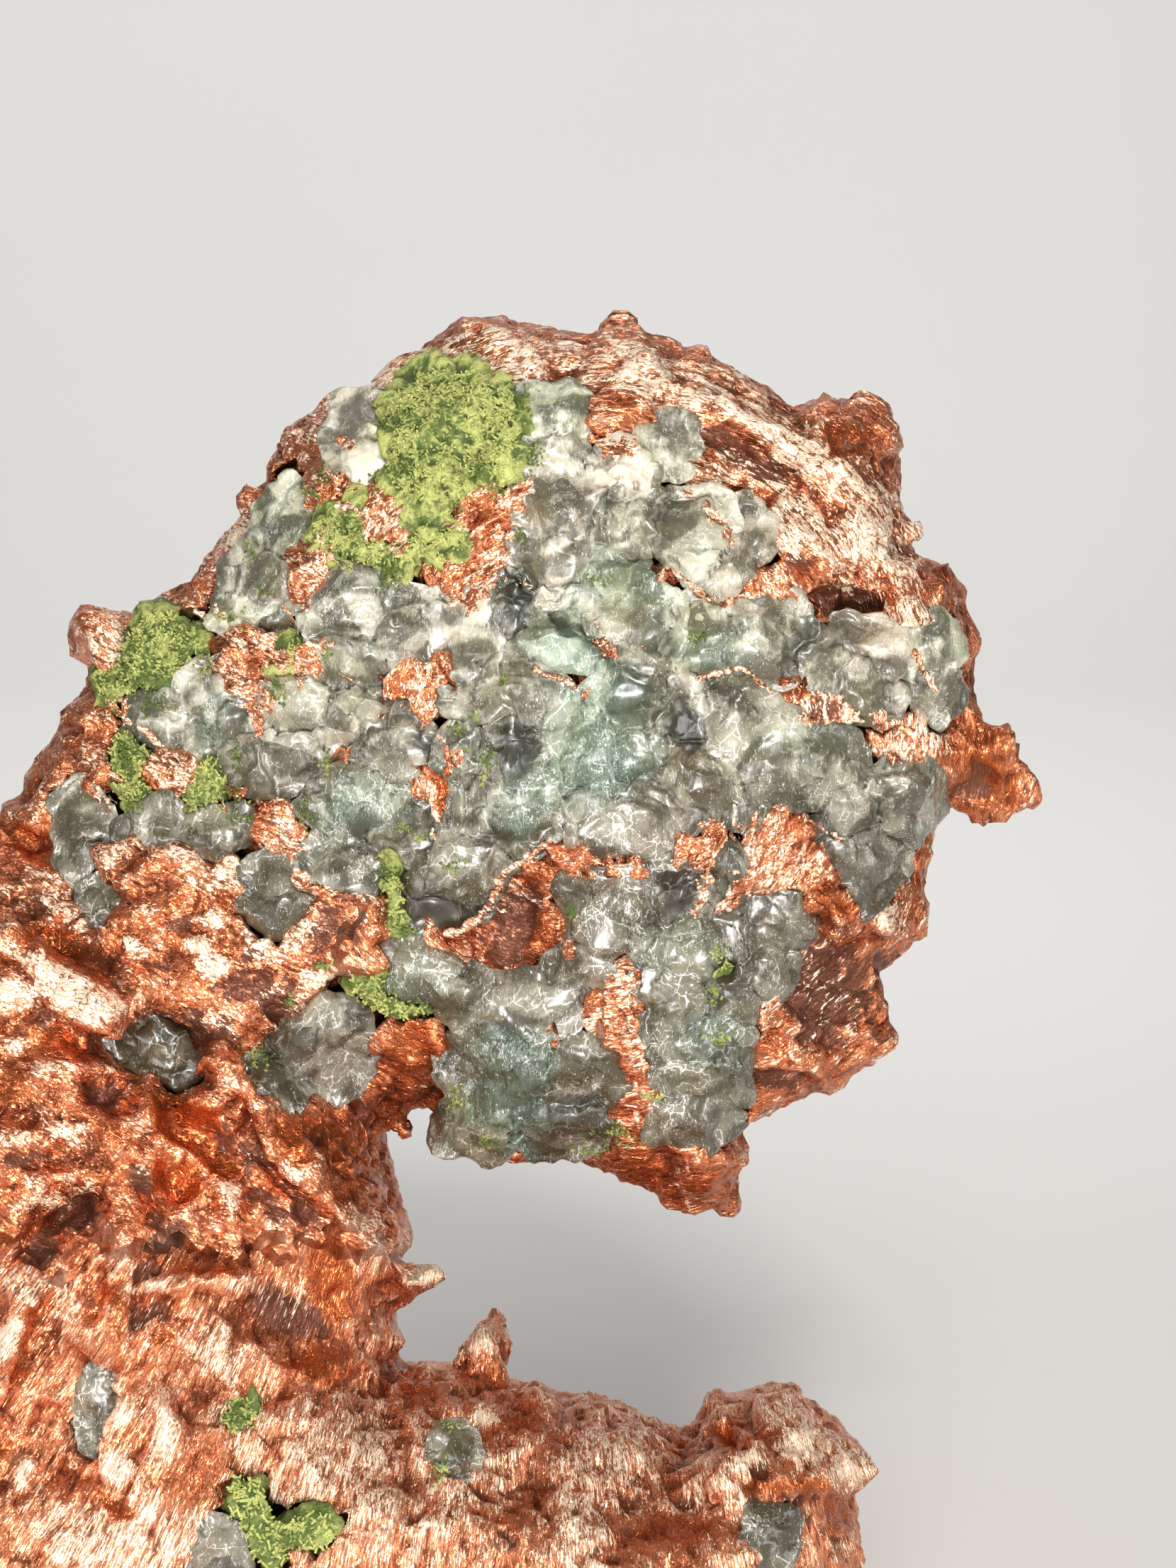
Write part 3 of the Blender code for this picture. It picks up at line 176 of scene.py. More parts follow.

# Sheets of foil that stand proud and are painted bright as highlight, and smooth orange shells with a lip: their
# outlines on the face, x and h
SHEETS = [
    [(-21.0, -5.7), (-20.2, -6.2), (-19.65, -6.7), (-19.2, -7.15), (-18.9, -7.6), (-18.3, -8.05), (-17.85, -8.3),
     (-17.2, -8.45), (-16.5, -8.2), (-16.2, -7.8), (-16.7, -7.3), (-17.4, -7.0), (-18.3, -6.5), (-19.2, -6.1),
     (-20.1, -5.75), (-21.0, -5.45)],
    [(-21.0, -6.9), (-19.9, -6.8), (-19.1, -7.3), (-19.4, -8.0), (-21.0, -8.2)],
    [(-18.0, -5.1), (-17.4, -5.1), (-17.0, -5.7), (-17.5, -5.9), (-17.9, -5.6)],
    [(-16.5, -5.4), (-15.9, -5.4), (-15.5, -5.9), (-16.1, -6.2)],
    [(-13.9, -4.7), (-13.2, -4.5), (-12.9, -4.9), (-13.3, -5.2), (-13.8, -5.0)],
    [(-14.4, -5.5), (-13.6, -5.3), (-13.0, -6.0), (-12.3, -6.3), (-13.0, -6.9), (-13.6, -6.9), (-13.9, -6.2)],
    [(-14.9, -2.0), (-14.3, -2.3), (-13.6, -2.5), (-14.1, -2.9), (-14.8, -2.7)],
    [(-16.4, -17.9), (-15.7, -17.6), (-15.0, -17.3), (-14.9, -17.6), (-15.8, -18.0)],
    [(-21.0, -19.3), (-19.9, -18.7), (-19.8, -19.2), (-20.2, -20.0), (-21.0, -20.7)],
    [(-19.9, -18.3), (-19.3, -17.5), (-18.9, -17.2), (-19.1, -17.9), (-19.6, -18.5)],
    [(-12.9, -14.0), (-12.2, -13.9), (-12.2, -14.4), (-12.6, -14.9), (-12.9, -14.5)],
    [(-10.7, -13.3), (-10.0, -13.7), (-10.2, -14.0), (-10.7, -13.8)],
    [(6.3, -23.2), (7.2, -22.9), (8.3, -23.6), (8.0, -24.1), (7.0, -23.8)],
    [(4.5, -24.8), (5.0, -24.0), (5.8, -23.5), (6.0, -23.7), (5.3, -24.3), (4.7, -24.9)],
    [(-6.6, -17.5), (-6.0, -17.0), (-5.3, -16.8), (-5.2, -17.1), (-5.6, -17.6), (-6.4, -17.7)],
    [(-4.4, -20.1), (-4.0, -19.4), (-3.7, -19.0), (-3.4, -19.6), (-3.3, -20.0)],
    [(-15.1, -21.7), (-14.6, -22.2), (-14.6, -23.3), (-15.0, -24.0), (-15.3, -23.4)],
    [(-16.8, -22.3), (-16.2, -21.7), (-15.9, -22.2), (-16.4, -23.0), (-16.8, -22.8)],
    [(-17.1, -23.5), (-16.3, -23.6), (-15.9, -24.2), (-16.6, -24.9), (-17.2, -24.4)],
    [(-20.5, -24.3), (-19.8, -23.5), (-19.4, -23.9), (-20.0, -24.8)],
    [(-18.6, -5.0), (-18.0, -4.4), (-17.7, -4.6), (-18.0, -5.0)],
    [(-4.2, -22.1), (-3.2, -22.1), (-3.1, -22.6), (-3.6, -22.5), (-4.0, -22.7)],
]
SHELLS = [
    [(-15.6, -10.9), (-14.6, -11.0), (-13.1, -11.4), (-12.7, -12.3), (-12.5, -12.8), (-13.4, -12.6),
     (-14.4, -12.9), (-15.3, -12.3), (-15.6, -11.6)],
    [(-15.4, -13.3), (-14.8, -12.9), (-14.2, -13.1), (-13.6, -13.9), (-13.6, -14.6), (-14.6, -14.9), (-15.3, -14.3)],
    [(-14.0, -12.9), (-13.2, -12.6), (-12.4, -13.0), (-12.2, -13.8), (-13.2, -14.0), (-13.7, -13.4)],
    [(-11.2, -12.1), (-10.2, -11.9), (-9.8, -12.8), (-9.6, -13.3), (-10.2, -13.6), (-10.9, -13.1)],
    [(-17.1, -17.4), (-16.7, -17.9), (-17.2, -18.6), (-17.5, -19.4), (-17.7, -18.8), (-17.4, -18.0)],
    [(-16.5, -17.2), (-16.3, -18.5), (-16.4, -20.0), (-16.3, -21.0), (-16.8, -20.6), (-16.8, -19.0), (-16.7, -17.8)],
    [(-18.8, -17.0), (-18.6, -17.5), (-19.2, -18.6), (-19.6, -19.6), (-20.1, -21.4), (-20.5, -21.3),
     (-20.1, -19.8), (-19.8, -18.6), (-19.2, -17.8)],
    [(-10.4, -19.9), (-9.4, -19.7), (-8.4, -19.9), (-7.9, -20.8), (-8.8, -21.3), (-10.0, -21.1), (-10.9, -20.6)],
    [(-9.9, -16.2), (-9.0, -15.9), (-8.3, -17.0), (-8.1, -18.6), (-8.8, -19.1), (-9.6, -18.4), (-10.0, -17.3)],
    [(-20.6, -5.2), (-19.4, -5.0), (-18.2, -5.3), (-17.5, -6.0), (-16.9, -6.7), (-16.2, -7.4), (-16.8, -7.1),
     (-17.5, -6.8), (-18.4, -6.3), (-19.3, -5.9), (-20.2, -5.6)],
    [(-15.0, -4.4), (-14.3, -3.6), (-14.0, -3.7), (-14.4, -4.6)],
    [(-8.2, -17.8), (-7.4, -17.4), (-6.7, -17.2), (-6.4, -17.7), (-7.0, -18.1), (-7.9, -18.3)],
    [(-14.9, -17.3), (-14.1, -16.8), (-12.6, -16.8), (-12.2, -17.3), (-13.4, -17.2)],
    [(-15.6, -19.7), (-14.8, -19.2), (-14.4, -19.5), (-15.0, -19.9)],
    [(-21.0, -22.9), (-20.3, -23.0), (-20.1, -23.6), (-21.0, -24.0)],
    [(-17.6, -24.6), (-17.1, -24.9), (-16.3, -25.4), (-15.9, -26.0), (-16.6, -26.0), (-17.2, -25.4)],
    [(4.4, -22.6), (4.9, -22.4), (5.4, -22.8), (5.3, -23.5), (4.7, -23.6), (4.4, -23.1)],
    [(5.2, -24.8), (6.6, -24.4), (8.2, -24.5), (8.8, -24.9), (7.4, -25.0), (5.6, -25.2)],
    [(8.4, -25.1), (9.3, -25.1), (9.2, -26.2), (8.6, -26.3), (8.2, -25.7)],
    [(8.2, 12.5), (9.0, 12.9), (9.9, 12.3), (9.6, 11.6), (8.7, 11.5)],
    [(4.9, 10.4), (5.5, 10.6), (5.7, 10.1), (5.3, 9.7)],
    [(7.9, -3.5), (8.6, -3.4), (9.1, -4.3), (8.8, -4.9), (8.2, -4.6)],
    [(13.2, 1.4), (14.6, 0.6), (14.4, -0.9), (13.4, -0.4)],
    [(-5.4, 1.0), (-4.9, 0.6), (-4.8, -0.2), (-5.3, -1.2), (-5.5, -0.2)],
]

# Ridges and grooves of the drawn metal, the sharpest of them: places x, h along it, width, height
FOLDS = [
    ([(-20.7, -5.3), (-19.6, -6.0), (-18.9, -7.2), (-18.1, -7.9), (-16.9, -8.2)], 0.35, 0.55),
    ([(-20.1, -6.5), (-19.2, -7.7), (-18.4, -8.6), (-17.7, -9.4)], 0.35, -0.5),
    ([(-19.8, -5.2), (-18.2, -5.7), (-17.2, -6.2), (-16.3, -7.4)], 0.35, -0.4),
    ([(-13.0, -10.0), (-12.3, -10.6), (-11.7, -11.6), (-11.3, -12.3), (-10.7, -13.3), (-9.8, -14.0)], 0.3, 0.5),
    ([(-9.8, -14.0), (-9.0, -15.0), (-8.3, -15.9), (-7.3, -16.7)], 0.3, 0.45),
    ([(-12.6, -10.9), (-12.0, -12.2), (-11.4, -13.4), (-10.4, -14.6), (-9.4, -15.7)], 0.3, -0.4),
    ([(-12.6, -12.1), (-12.1, -13.2), (-11.3, -14.0), (-10.5, -14.7)], 0.25, 0.3),
    ([(-15.5, -10.9), (-15.4, -12.0), (-14.9, -12.8), (-13.9, -13.3), (-12.8, -14.6), (-12.5, -15.4)], 0.3, 0.45),
    ([(-14.7, -11.3), (-14.3, -12.4), (-13.2, -12.9)], 0.6, -0.45), ([(-14.7, -13.7), (-14.5, -14.3)], 0.5, -0.4),
    ([(-10.8, -12.3), (-10.4, -13.4)], 0.5, -0.35), ([(-8.6, -13.4), (-8.4, -14.6)], 0.5, -0.3),
    ([(-19.6, -10.6), (-18.7, -10.2), (-17.6, -10.1), (-16.7, -10.4), (-16.3, -10.9)], 0.35, 0.45),
    ([(-17.3, -10.9), (-16.8, -10.8)], 0.4, -0.7), ([(-20.4, -13.6), (-19.0, -13.2), (-18.0, -13.3)], 0.5, -0.4),
    ([(-18.3, -11.3), (-17.3, -12.0), (-16.6, -12.9)], 0.2, 0.3), ([(-17.4, -11.5), (-15.9, -13.1)], 0.2, 0.25),
    ([(-20.2, -14.6), (-19.0, -14.4), (-17.6, -14.0)], 0.3, 0.4), ([(-16.6, -14.4), (-16.4, -15.8)], 0.4, 0.35),
    ([(-19.2, -16.9), (-18.9, -17.6), (-19.3, -19.0), (-19.9, -20.6), (-20.4, -22.2)], 0.3, -0.5),
    ([(-19.9, -17.8), (-20.0, -19.0), (-20.5, -20.4)], 0.35, 0.5), ([(-17.1, -17.2), (-17.5, -18.6)], 0.3, -0.45),
    ([(-16.4, -16.9), (-16.7, -18.4), (-16.6, -19.8), (-16.4, -21.0)], 0.3, 0.5),
    ([(-17.9, -17.5), (-18.4, -19.5), (-19.2, -21.5)], 0.4, 0.3), ([(-16.2, -19.4), (-15.2, -18.9)], 0.2, 0.3),
    ([(-14.9, -18.3), (-13.3, -18.2), (-11.8, -18.5)], 0.4, -0.2), ([(-14.5, -16.9), (-12.6, -16.7)], 0.5, -0.35),
    ([(-11.6, -18.9), (-9.6, -19.0)], 0.8, -0.35), ([(-9.9, -20.6), (-8.4, -20.4)], 0.7, 0.35),
    ([(-8.7, -16.9), (-8.6, -18.4), (-8.6, -19.4)], 0.4, 0.3),
    ([(-17.6, -20.8), (-17.9, -22.6), (-18.1, -24.4)], 0.35, -0.4), ([(-15.1, -21.8), (-14.6, -23.5)], 0.4, 0.35),
    ([(-15.9, -21.9), (-16.3, -23.2), (-16.9, -23.4)], 0.25, 0.3), ([(-16.8, -25.2), (-15.4, -26.4)], 0.4, -0.3),
    ([(4.5, -24.9), (5.3, -24.1), (6.0, -23.5), (6.4, -23.9)], 0.25, 0.35),
    ([(5.4, -24.5), (6.2, -24.1)], 0.3, -0.45), ([(4.5, -22.9), (5.6, -23.1)], 0.5, -0.35),
    ([(6.6, -25.1), (8.0, -25.2), (9.2, -25.4)], 0.5, -0.3),
    ([(6.0, -22.0), (6.6, -22.6), (8.4, -23.6), (9.6, -24.3)], 0.3, 0.3), ([(-0.9, -24.2), (-0.8, -26.0)], 0.4, 0.25),
    ([(3.4, 12.9), (5.0, 12.2), (6.6, 11.2), (8.0, 10.2)], 0.35, -0.35),
    ([(5.0, 12.6), (6.5, 11.6), (8.2, 10.4), (9.0, 9.5)], 0.2, -0.25), ([(2.6, 14.6), (4.4, 13.4)], 0.25, -0.2),
    ([(6.0, 12.6), (7.4, 11.5), (8.6, 10.4), (9.6, 9.0)], 0.3, 0.3),
    ([(0.6, 15.4), (3.2, 14.3), (5.2, 12.9)], 0.3, 0.25), ([(8.3, 6.6), (9.9, 6.3)], 0.5, -0.5),
    ([(8.0, 7.0), (9.2, 7.15), (10.1, 6.8)], 0.2, 0.3), ([(6.7, 8.1), (7.7, 7.6)], 0.3, -0.35),
    ([(9.0, 12.0), (9.9, 12.1)], 0.4, -0.5), ([(10.1, 12.9), (10.4, 12.2)], 0.3, -0.3),
    ([(5.3, -8.3), (5.7, -7.8), (6.3, -7.3), (7.0, -6.6), (7.4, -5.8)], 0.25, 0.4),
    ([(7.9, -3.8), (8.5, -4.2), (9.0, -5.0)], 0.3, 0.45), ([(9.0, -4.8), (10.2, -4.9), (11.0, -5.2)], 0.25, 0.35),
    ([(5.4, -10.0), (6.4, -9.75), (7.8, -9.9), (8.3, -10.4)], 0.2, 0.3), ([(6.2, -10.4), (7.6, -10.4)], 0.35, -0.5),
    ([(6.8, -8.5), (6.7, -9.2)], 0.25, -0.8), ([(8.3, -4.7), (8.6, -5.2)], 0.25, -0.8),
    ([(7.4, -6.8), (9.9, -7.4)], 0.2, -0.3), ([(7.2, -7.9), (10.3, -8.4)], 0.2, -0.3),
    ([(7.4, -8.9), (10.0, -9.4)], 0.2, -0.3), ([(3.3, -13.5), (4.2, -13.3), (5.5, -13.2)], 0.2, 0.25),
    ([(1.6, -13.0), (2.8, -13.4)], 0.3, -0.25), ([(-17.6, 5.9), (-17.2, 4.8), (-16.9, 4.2)], 0.35, 0.3),
    ([(-17.2, 5.2), (-16.6, 4.9)], 0.25, -0.3), ([(-20.0, -1.2), (-18.6, -2.0), (-18.4, -3.0)], 0.35, 0.3),
    ([(-19.6, -2.3), (-18.2, -3.4)], 0.4, -0.3), ([(-17.3, -2.2), (-16.6, -2.9), (-15.8, -3.4)], 0.25, 0.3),
    ([(-14.9, -4.9), (-13.7, -5.1)], 0.25, -0.4), ([(-18.9, -17.3), (-18.2, -17.5)], 0.13, 0.2),
    ([(-18.9, -17.8), (-17.9, -18.1)], 0.13, 0.22), ([(-18.9, -18.2), (-17.8, -18.6)], 0.13, 0.22),
    ([(-19.0, -18.6), (-17.7, -19.0)], 0.13, 0.22), ([(-8.7, -14.8), (-7.6, -14.9)], 0.12, 0.2),
    ([(-8.6, -15.2), (-7.4, -15.3)], 0.12, 0.2), ([(-8.5, -15.6), (-7.3, -15.7)], 0.12, 0.2),
    ([(-13.0, -19.0), (-12.8, -20.8)], 0.2, 0.25), ([(-14.4, -19.2), (-13.9, -20.6)], 0.25, 0.25),
    ([(-11.9, -19.8), (-11.0, -20.8)], 0.2, 0.25), ([(-15.6, -19.5), (-15.2, -19.1), (-14.6, -19.2)], 0.15, 0.25),
    ([(-9.2, -2.9), (-8.6, -3.5)], 0.3, 0.3),
]


def on_face(points):
    """Points in millimetres as x and h on the face, and depth out of it."""
    return (points - FACE_MIDDLE) @ FACE_AXES.T


def facing_of(normals):
    """How far the surface looks to the right, upwards and out of the face."""
    return on_face(FACE_MIDDLE + normals)


def off_face(face):
    """Places on the face back as points in millimetres."""
    return face @ FACE_AXES + FACE_MIDDLE


def seen(face):
    """Where the eye sees places on the face: x and h, as read on the plane through the middle."""
    return face[:, :2] * (EYE_DISTANCE / (EYE_DISTANCE - face[:, 2:3]))


def points_of(mesh):
    """The mesh's points in millimetres."""
    flat = np.empty(len(mesh.vertices) * 3)
    mesh.vertices.foreach_get("co", flat)
    return flat.reshape(-1, 3) / MM


def put_points(mesh, points):
    """Moves the mesh's points to these places in millimetres."""
    mesh.vertices.foreach_set("co", (points * MM).ravel())
    mesh.update()


def normals_of(mesh):
    """The way out of the surface at each point."""
    flat = np.empty(len(mesh.vertices) * 3)
    mesh.vertex_normals.foreach_get("vector", flat)
    return flat.reshape(-1, 3)


def edges_of(mesh):
    """The two ends of each edge."""
    flat = np.empty(len(mesh.edges) * 2, np.int32)
    mesh.edges.foreach_get("vertices", flat)
    return flat.reshape(-1, 2)


def eased(values, edges, rounds, own=None):
    """Values evened out over the surface; own is how far each point takes part."""
    own = np.ones(len(values)) if own is None else own
    ends = np.concatenate([edges[:, 0], edges[:, 1]])
    others = np.concatenate([edges[:, 1], edges[:, 0]])
    count = len(values)
    weight = np.bincount(ends, own[others], count) + own
    values = values.reshape(count, -1).copy()
    for _ in range(rounds):
        for column in range(values.shape[1]):
            near = np.bincount(ends, own[others] * values[others, column], count)
            values[:, column] = (near + own * values[:, column]) / np.maximum(weight, 1e-9)
    return values if values.shape[1] > 1 else values[:, 0]


def evened(mesh, rounds):
    """The mesh's points and ways out, once the steps that the skin left have been evened out."""
    points = eased(points_of(mesh), edges_of(mesh), rounds)
    put_points(mesh, points)
    return points, normals_of(mesh)


def ramp(value, start, end):
    """A smooth step from 0 at start to 1 at end."""
    share = np.clip((value - start) / (end - start), 0, 1)
    return share * share * (3 - 2 * share)


def dice(cells, seed):
    """Three steady random numbers, 0 to 1, for each cell of a lattice."""
    mixed = cells @ np.array((374761393, 668265263, 1440662683)[:cells.shape[1]]) + seed * 2654435761
    mixed = ((mixed ^ (mixed >> 13)) * 1274126177) & 0xFFFFFFFF
    mixed = ((mixed ^ (mixed >> 15)) * 2246822519) & 0xFFFFFFFF
    return np.column_stack([(mixed >> shift) & 1023 for shift in (3, 12, 22)]) / 1023


def lattice_noise(points, seed):
    """Smooth noise, about -1 to 1, at each point."""
    cells = np.floor(points).astype(np.int64)
    inside = points - cells
    fade = inside**3 * (inside * (inside * 6 - 15) + 10)
    total = np.zeros(len(points))
    for corner in np.ndindex(*(2,) * points.shape[1]):
        slope = dice(cells + corner, seed)[:, :points.shape[1]] * 2 - 1
        share = np.prod(np.where(corner, fade, 1 - fade), axis=1)
        total += share * np.einsum("ij,ij->i", slope, inside - corner)
    return total * 1.5


def waves(points, octaves, seed=1):
    """Soft noise of several sizes, about -1 to 1, at each point."""
    return sum(0.5**octave * lattice_noise(points * 2.03**octave, seed + octave) for octave in range(octaves))


def creases(points, octaves, seed=1):
    """Noise with sharp crests, about -0.5 to 0.5, at each point."""
    return sum(0.5**octave * (0.5 - np.abs(lattice_noise(points * 2.03**octave, seed + octave)) * 1.8)
               for octave in range(octaves))


def facets(places, seed, bulge=0.55):
    """A surface broken into nearly flat faces about one unit wide, each tilted its own way."""
    ways = places.shape[1]
    cells = np.floor(places).astype(np.int64)
    top = np.full(len(places), -9.0)
    for step in np.ndindex(*(3,) * ways):
        cell = cells + step - 1
        away = places - cell - dice(cell, seed)[:, :ways]
        slope = dice(cell, seed + 50)[:, :ways] * 2 - 1
        top = np.maximum(top, np.einsum("ij,ij->i", slope - bulge * away, away))
    return top


def turned(right, up, angle):
    """How far it is along and across a line at an angle, from how far to the right and how far up."""
    return right * math.cos(angle) + up * math.sin(angle), up * math.cos(angle) - right * math.sin(angle)


def patches(places, spots):
    """How strongly each place lies in a list of oval spots."""
    share = np.zeros(len(places))
    for x, h, width, height, turn, strength in spots:
        along, across = turned(places[:, 0] - x, places[:, 1] - h, math.radians(turn))
        share = np.maximum(share, strength * np.exp(-(((along / width)**2 + (across / height)**2) ** 1.5)))
    return share


def away_from(places, line):
    """How far each place is from a line drawn through some points."""
    away = np.full(len(places), 9.0)
    for start, end in zip(line, line[1:]):
        start, way = np.array(start), np.array(end) - np.array(start)
        share = np.clip((places - start) @ way / (way @ way), 0, 1)
        away = np.minimum(away, np.linalg.norm(places - start - share[:, None] * way, axis=1))
    return away


def folded(places, folds):
    """The height that a list of ridges and grooves gives each place."""
    total = np.zeros(len(places))
    for line, width, height in folds:
        total += height * np.exp(-((away_from(places, line) / width) ** 1.4))
    return total


def depth_in(places, outlines):
    """How deep inside the nearest outline each place lies, in millimetres; outside it is below 0."""
    deepest = np.full(len(places), -9.0)
    for outline in outlines:
        closed = outline + outline[:1]
        inside = np.zeros(len(places), bool)
        for (ax, ah), (bx, bh) in zip(closed, closed[1:]):
            crossed = (places[:, 1] < ah) != (places[:, 1] < bh)
            inside ^= crossed & (places[:, 0] < ax + (places[:, 1] - ah) * (bx - ax) / ((bh - ah) or 1))
        away = away_from(places, closed)
        deepest = np.maximum(deepest, np.where(inside, away, -away))
    return deepest


def frayed(places, reach=0.12):
    """The places pushed about a little, so that what is drawn on them gets a ragged edge."""
    return places + reach * np.column_stack([waves(places / 0.5, 2, 81), waves(places / 0.5, 2, 91)])


def copper_runs(face):
    """Places measured along and across the drawn copper: round the knob, down the foot, across the left."""
    places = seen(face)
    right, up = places[:, 0] - KNOB_MIDDLE[0], places[:, 1] - KNOB_MIDDLE[1]
    knob = np.column_stack([np.arctan2(right, up) * KNOB_RADIUS, np.hypot(right, up), face[:, 2]])
    right, up = places[:, 0] - FOOT_FAN[0], places[:, 1] - FOOT_FAN[1]
    foot = np.column_stack([np.hypot(right, up), np.arctan2(right, -up) * FOOT_RADIUS, face[:, 2]])
    return knob, foot, np.column_stack([*turned(places[:, 0], places[:, 1], LEFT_SLOPE), face[:, 2]])


def wobble(face):
    """A small sideways waver that every front piece shares, so that edges are ragged and still meet."""
    level = np.zeros(len(face))
    near = np.column_stack([seen(face), level])
    sideways = [0.26 * waves(near / 1.7, 2, seed) + 0.14 * waves(near / 0.5, 2, seed + 2) for seed in (3, 13)]
    return np.column_stack([*sideways, level]) * ramp(face[:, 2], 0.0, 2.0)[:, None]


def welded(node):
    """A copy of a CAD node as a bmesh whose faces share their corners."""
    bm = bmesh.new()
    bm.from_mesh(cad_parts[node].data)
    bmesh.ops.remove_doubles(bm, verts=bm.verts, dist=0.001 * MM)
    return bm


def in_scene(name, data):
    """A new object in the scene, with this mesh, light or camera."""
    obj = bpy.data.objects.new(name, data)
    bpy.context.scene.collection.objects.link(obj)
    return obj


def skinned(bm, voxel, name):
    """The shape as an object with one closed skin of even faces."""
    mesh = bpy.data.meshes.new(name)
    bm.to_mesh(mesh)
    bm.free()
    obj = in_scene(name, mesh)
    modifier = obj.modifiers.new("skin", "REMESH")
    modifier.mode = "VOXEL"
    modifier.voxel_size = voxel * MM
    return finished(obj)


def finished(obj):
    """The object with its modifiers applied and its faces shaded smooth."""
    graph = bpy.context.evaluated_depsgraph_get()
    made = bpy.data.meshes.new_from_object(obj.evaluated_get(graph))
    obj.modifiers.clear()
    plain = obj.data
    obj.data = made
    bpy.data.meshes.remove(plain)
    made.name = obj.name
    made.shade_smooth()
    return obj


def thinned(obj, triangles):
    """The object with this many triangles left, the others taken from where it is flattest."""
    obj.data.calc_loop_triangles()
    modifier = obj.modifiers.new("thin", "DECIMATE")
    modifier.ratio = triangles / len(obj.data.loop_triangles)
    return finished(obj)


def keep(mesh, name, values):
    """Stores a value or a vector on each point for the material to read."""
    vector = values.ndim == 2
    attribute = mesh.attributes.new(name, "FLOAT_VECTOR" if vector else "FLOAT", "POINT")
    attribute.data.foreach_set("vector" if vector else "value", values.ravel())


def hollowness(mesh, rounds, full):
    """How deep each point lies in the surface round it, 0 to 1: 0.5 is level, and full is its range in millimetres."""
    points = points_of(mesh)
    around = eased(points, edges_of(mesh), rounds)
    return np.clip(0.5 + np.einsum("ij,ij->i", around - points, normals_of(mesh)) / full, 0, 1)


class Lead:
    """One socket of a material. Arithmetic on it adds Math nodes, and add makes any other node."""

    def __init__(self, tree, socket=None):
        self.tree = tree
        self.socket = socket

    def add(self, kind, settings=None, inputs=None, output=0):
        node = self.tree.nodes.new("ShaderNode" + kind)
        for key, value in (settings or {}).items():
            setattr(node, key, value)
        for key, value in (inputs or {}).items():
            if isinstance(value, Lead):
                self.tree.links.new(value.socket, node.inputs[key])
            else:
                node.inputs[key].default_value = value
        return Lead(self.tree, node.outputs[output])

    def maths(self, operation, first, second):
        return self.add("Math", {"operation": operation}, {0: first, 1: second})

    def __add__(self, other):
        return self.maths("ADD", self, other)

    def __radd__(self, other):
        return self.maths("ADD", other, self)

    def __sub__(self, other):
        return self.maths("SUBTRACT", self, other)

    def __rsub__(self, other):
        return self.maths("SUBTRACT", other, self)

    def __mul__(self, other):
        return self.maths("MULTIPLY", self, other)

    def __rmul__(self, other):
        return self.maths("MULTIPLY", other, self)

    def most(self, other):
        """The larger of this value and another."""
        return self.maths("MAXIMUM", self, other)

    def step(self, start, end):
        """A smooth step of this value, from 0 at start to 1 at end."""
        inputs = {"Value": self, "From Min": start, "From Max": end}
        return self.add("MapRange", {"interpolation_type": "SMOOTHSTEP"}, inputs)

    def kept(self, *names):
        """The values that the mesh keeps under these names."""
        return [self.add("Attribute", {"attribute_name": name}, None, 2) for name in names]

    def kept_vector(self, name):
        """The colour or the place that the mesh keeps under this name."""
        return self.add("Attribute", {"attribute_name": name}, None, 1)

    def place(self):
        """The place on the piece, in millimetres."""
        return self.add("TexCoord", None, None, 3).stretched(MM)

    def plain(self, colour):
        """A colour that others are mixed into."""
        made = self.add("RGB")
        made.socket.default_value = (*colour, 1.0)
        return made

    def mixed(self, share, colour):
        """This colour with a share of another."""
        return self.add("Mix", {"data_type": "RGBA"}, {0: share, 6: self, 7: (*colour, 1.0)}, 2)

    def stretched(self, along, across=None, through=None):
        """This place divided by a length each way, or by one length for all three."""
        lengths = (along, across or along, through or along)
        return self.add("VectorMath", {"operation": "DIVIDE"}, {0: self, 1: lengths})

    def grain(self, detail, rough, warp=0.0):
        """Soft noise at this place, about 0 to 1."""
        inputs = {"Vector": self, "Scale": 1.0, "Detail": detail, "Roughness": rough, "Distortion": warp}
        return self.add("TexNoise", None, inputs)

    def cells(self, feature, output=0):
        """Cell noise at this place: the distance to the nearest cell's middle or edge."""
        return self.add("TexVoronoi", {"feature": feature}, {"Vector": self, "Scale": 1.0}, output)

    def pushed(self, size, reach):
        """This place, pushed about by noise of a size."""
        push = self.add("TexNoise", None, {"Vector": self.stretched(size), "Scale": 1.0, "Detail": 2.0}, 1)
        return self.add("VectorMath", {"operation": "MULTIPLY_ADD"}, {0: push, 1: (reach,) * 3, 2: self})

    def flakes(self):
        """Flat flakes about one unit wide: the height of each, tilted its own way, and a number of its own."""
        colour = self.cells("F1", 1)
        middle = Lead(self.tree, colour.socket.node.outputs[2])
        away = self.add("VectorMath", {"operation": "SUBTRACT"}, {0: self, 1: middle})
        tilt = self.add("VectorMath", {"operation": "SUBTRACT"}, {0: colour, 1: (0.5, 0.5, 0.5)})
        height = self.add("VectorMath", {"operation": "DOT_PRODUCT"}, {0: away, 1: tilt}, 1)
        return height, self.add("SeparateColor", None, {0: colour})


def start_material(name):
    """A new material: its tree, a first lead, and its shader."""
    material = bpy.data.materials.new(name)
    material.use_nodes = True
    tree = material.node_tree
    return material, Lead(tree), tree.nodes["Principled BSDF"]


def join(lead, shader, socket):
    """Leads a value or a colour into one of the shader's sockets."""
    lead.tree.links.new(lead.socket, shader.inputs[socket])


def emboss(height, shader, distance, strength=1.0):
    """Raises the shader's surface by a height, counted in a distance in millimetres."""
    bump = height.add("Bump", None, {"Strength": strength, "Distance": distance * MM, "Height": height})
    join(bump, shader, "Normal")


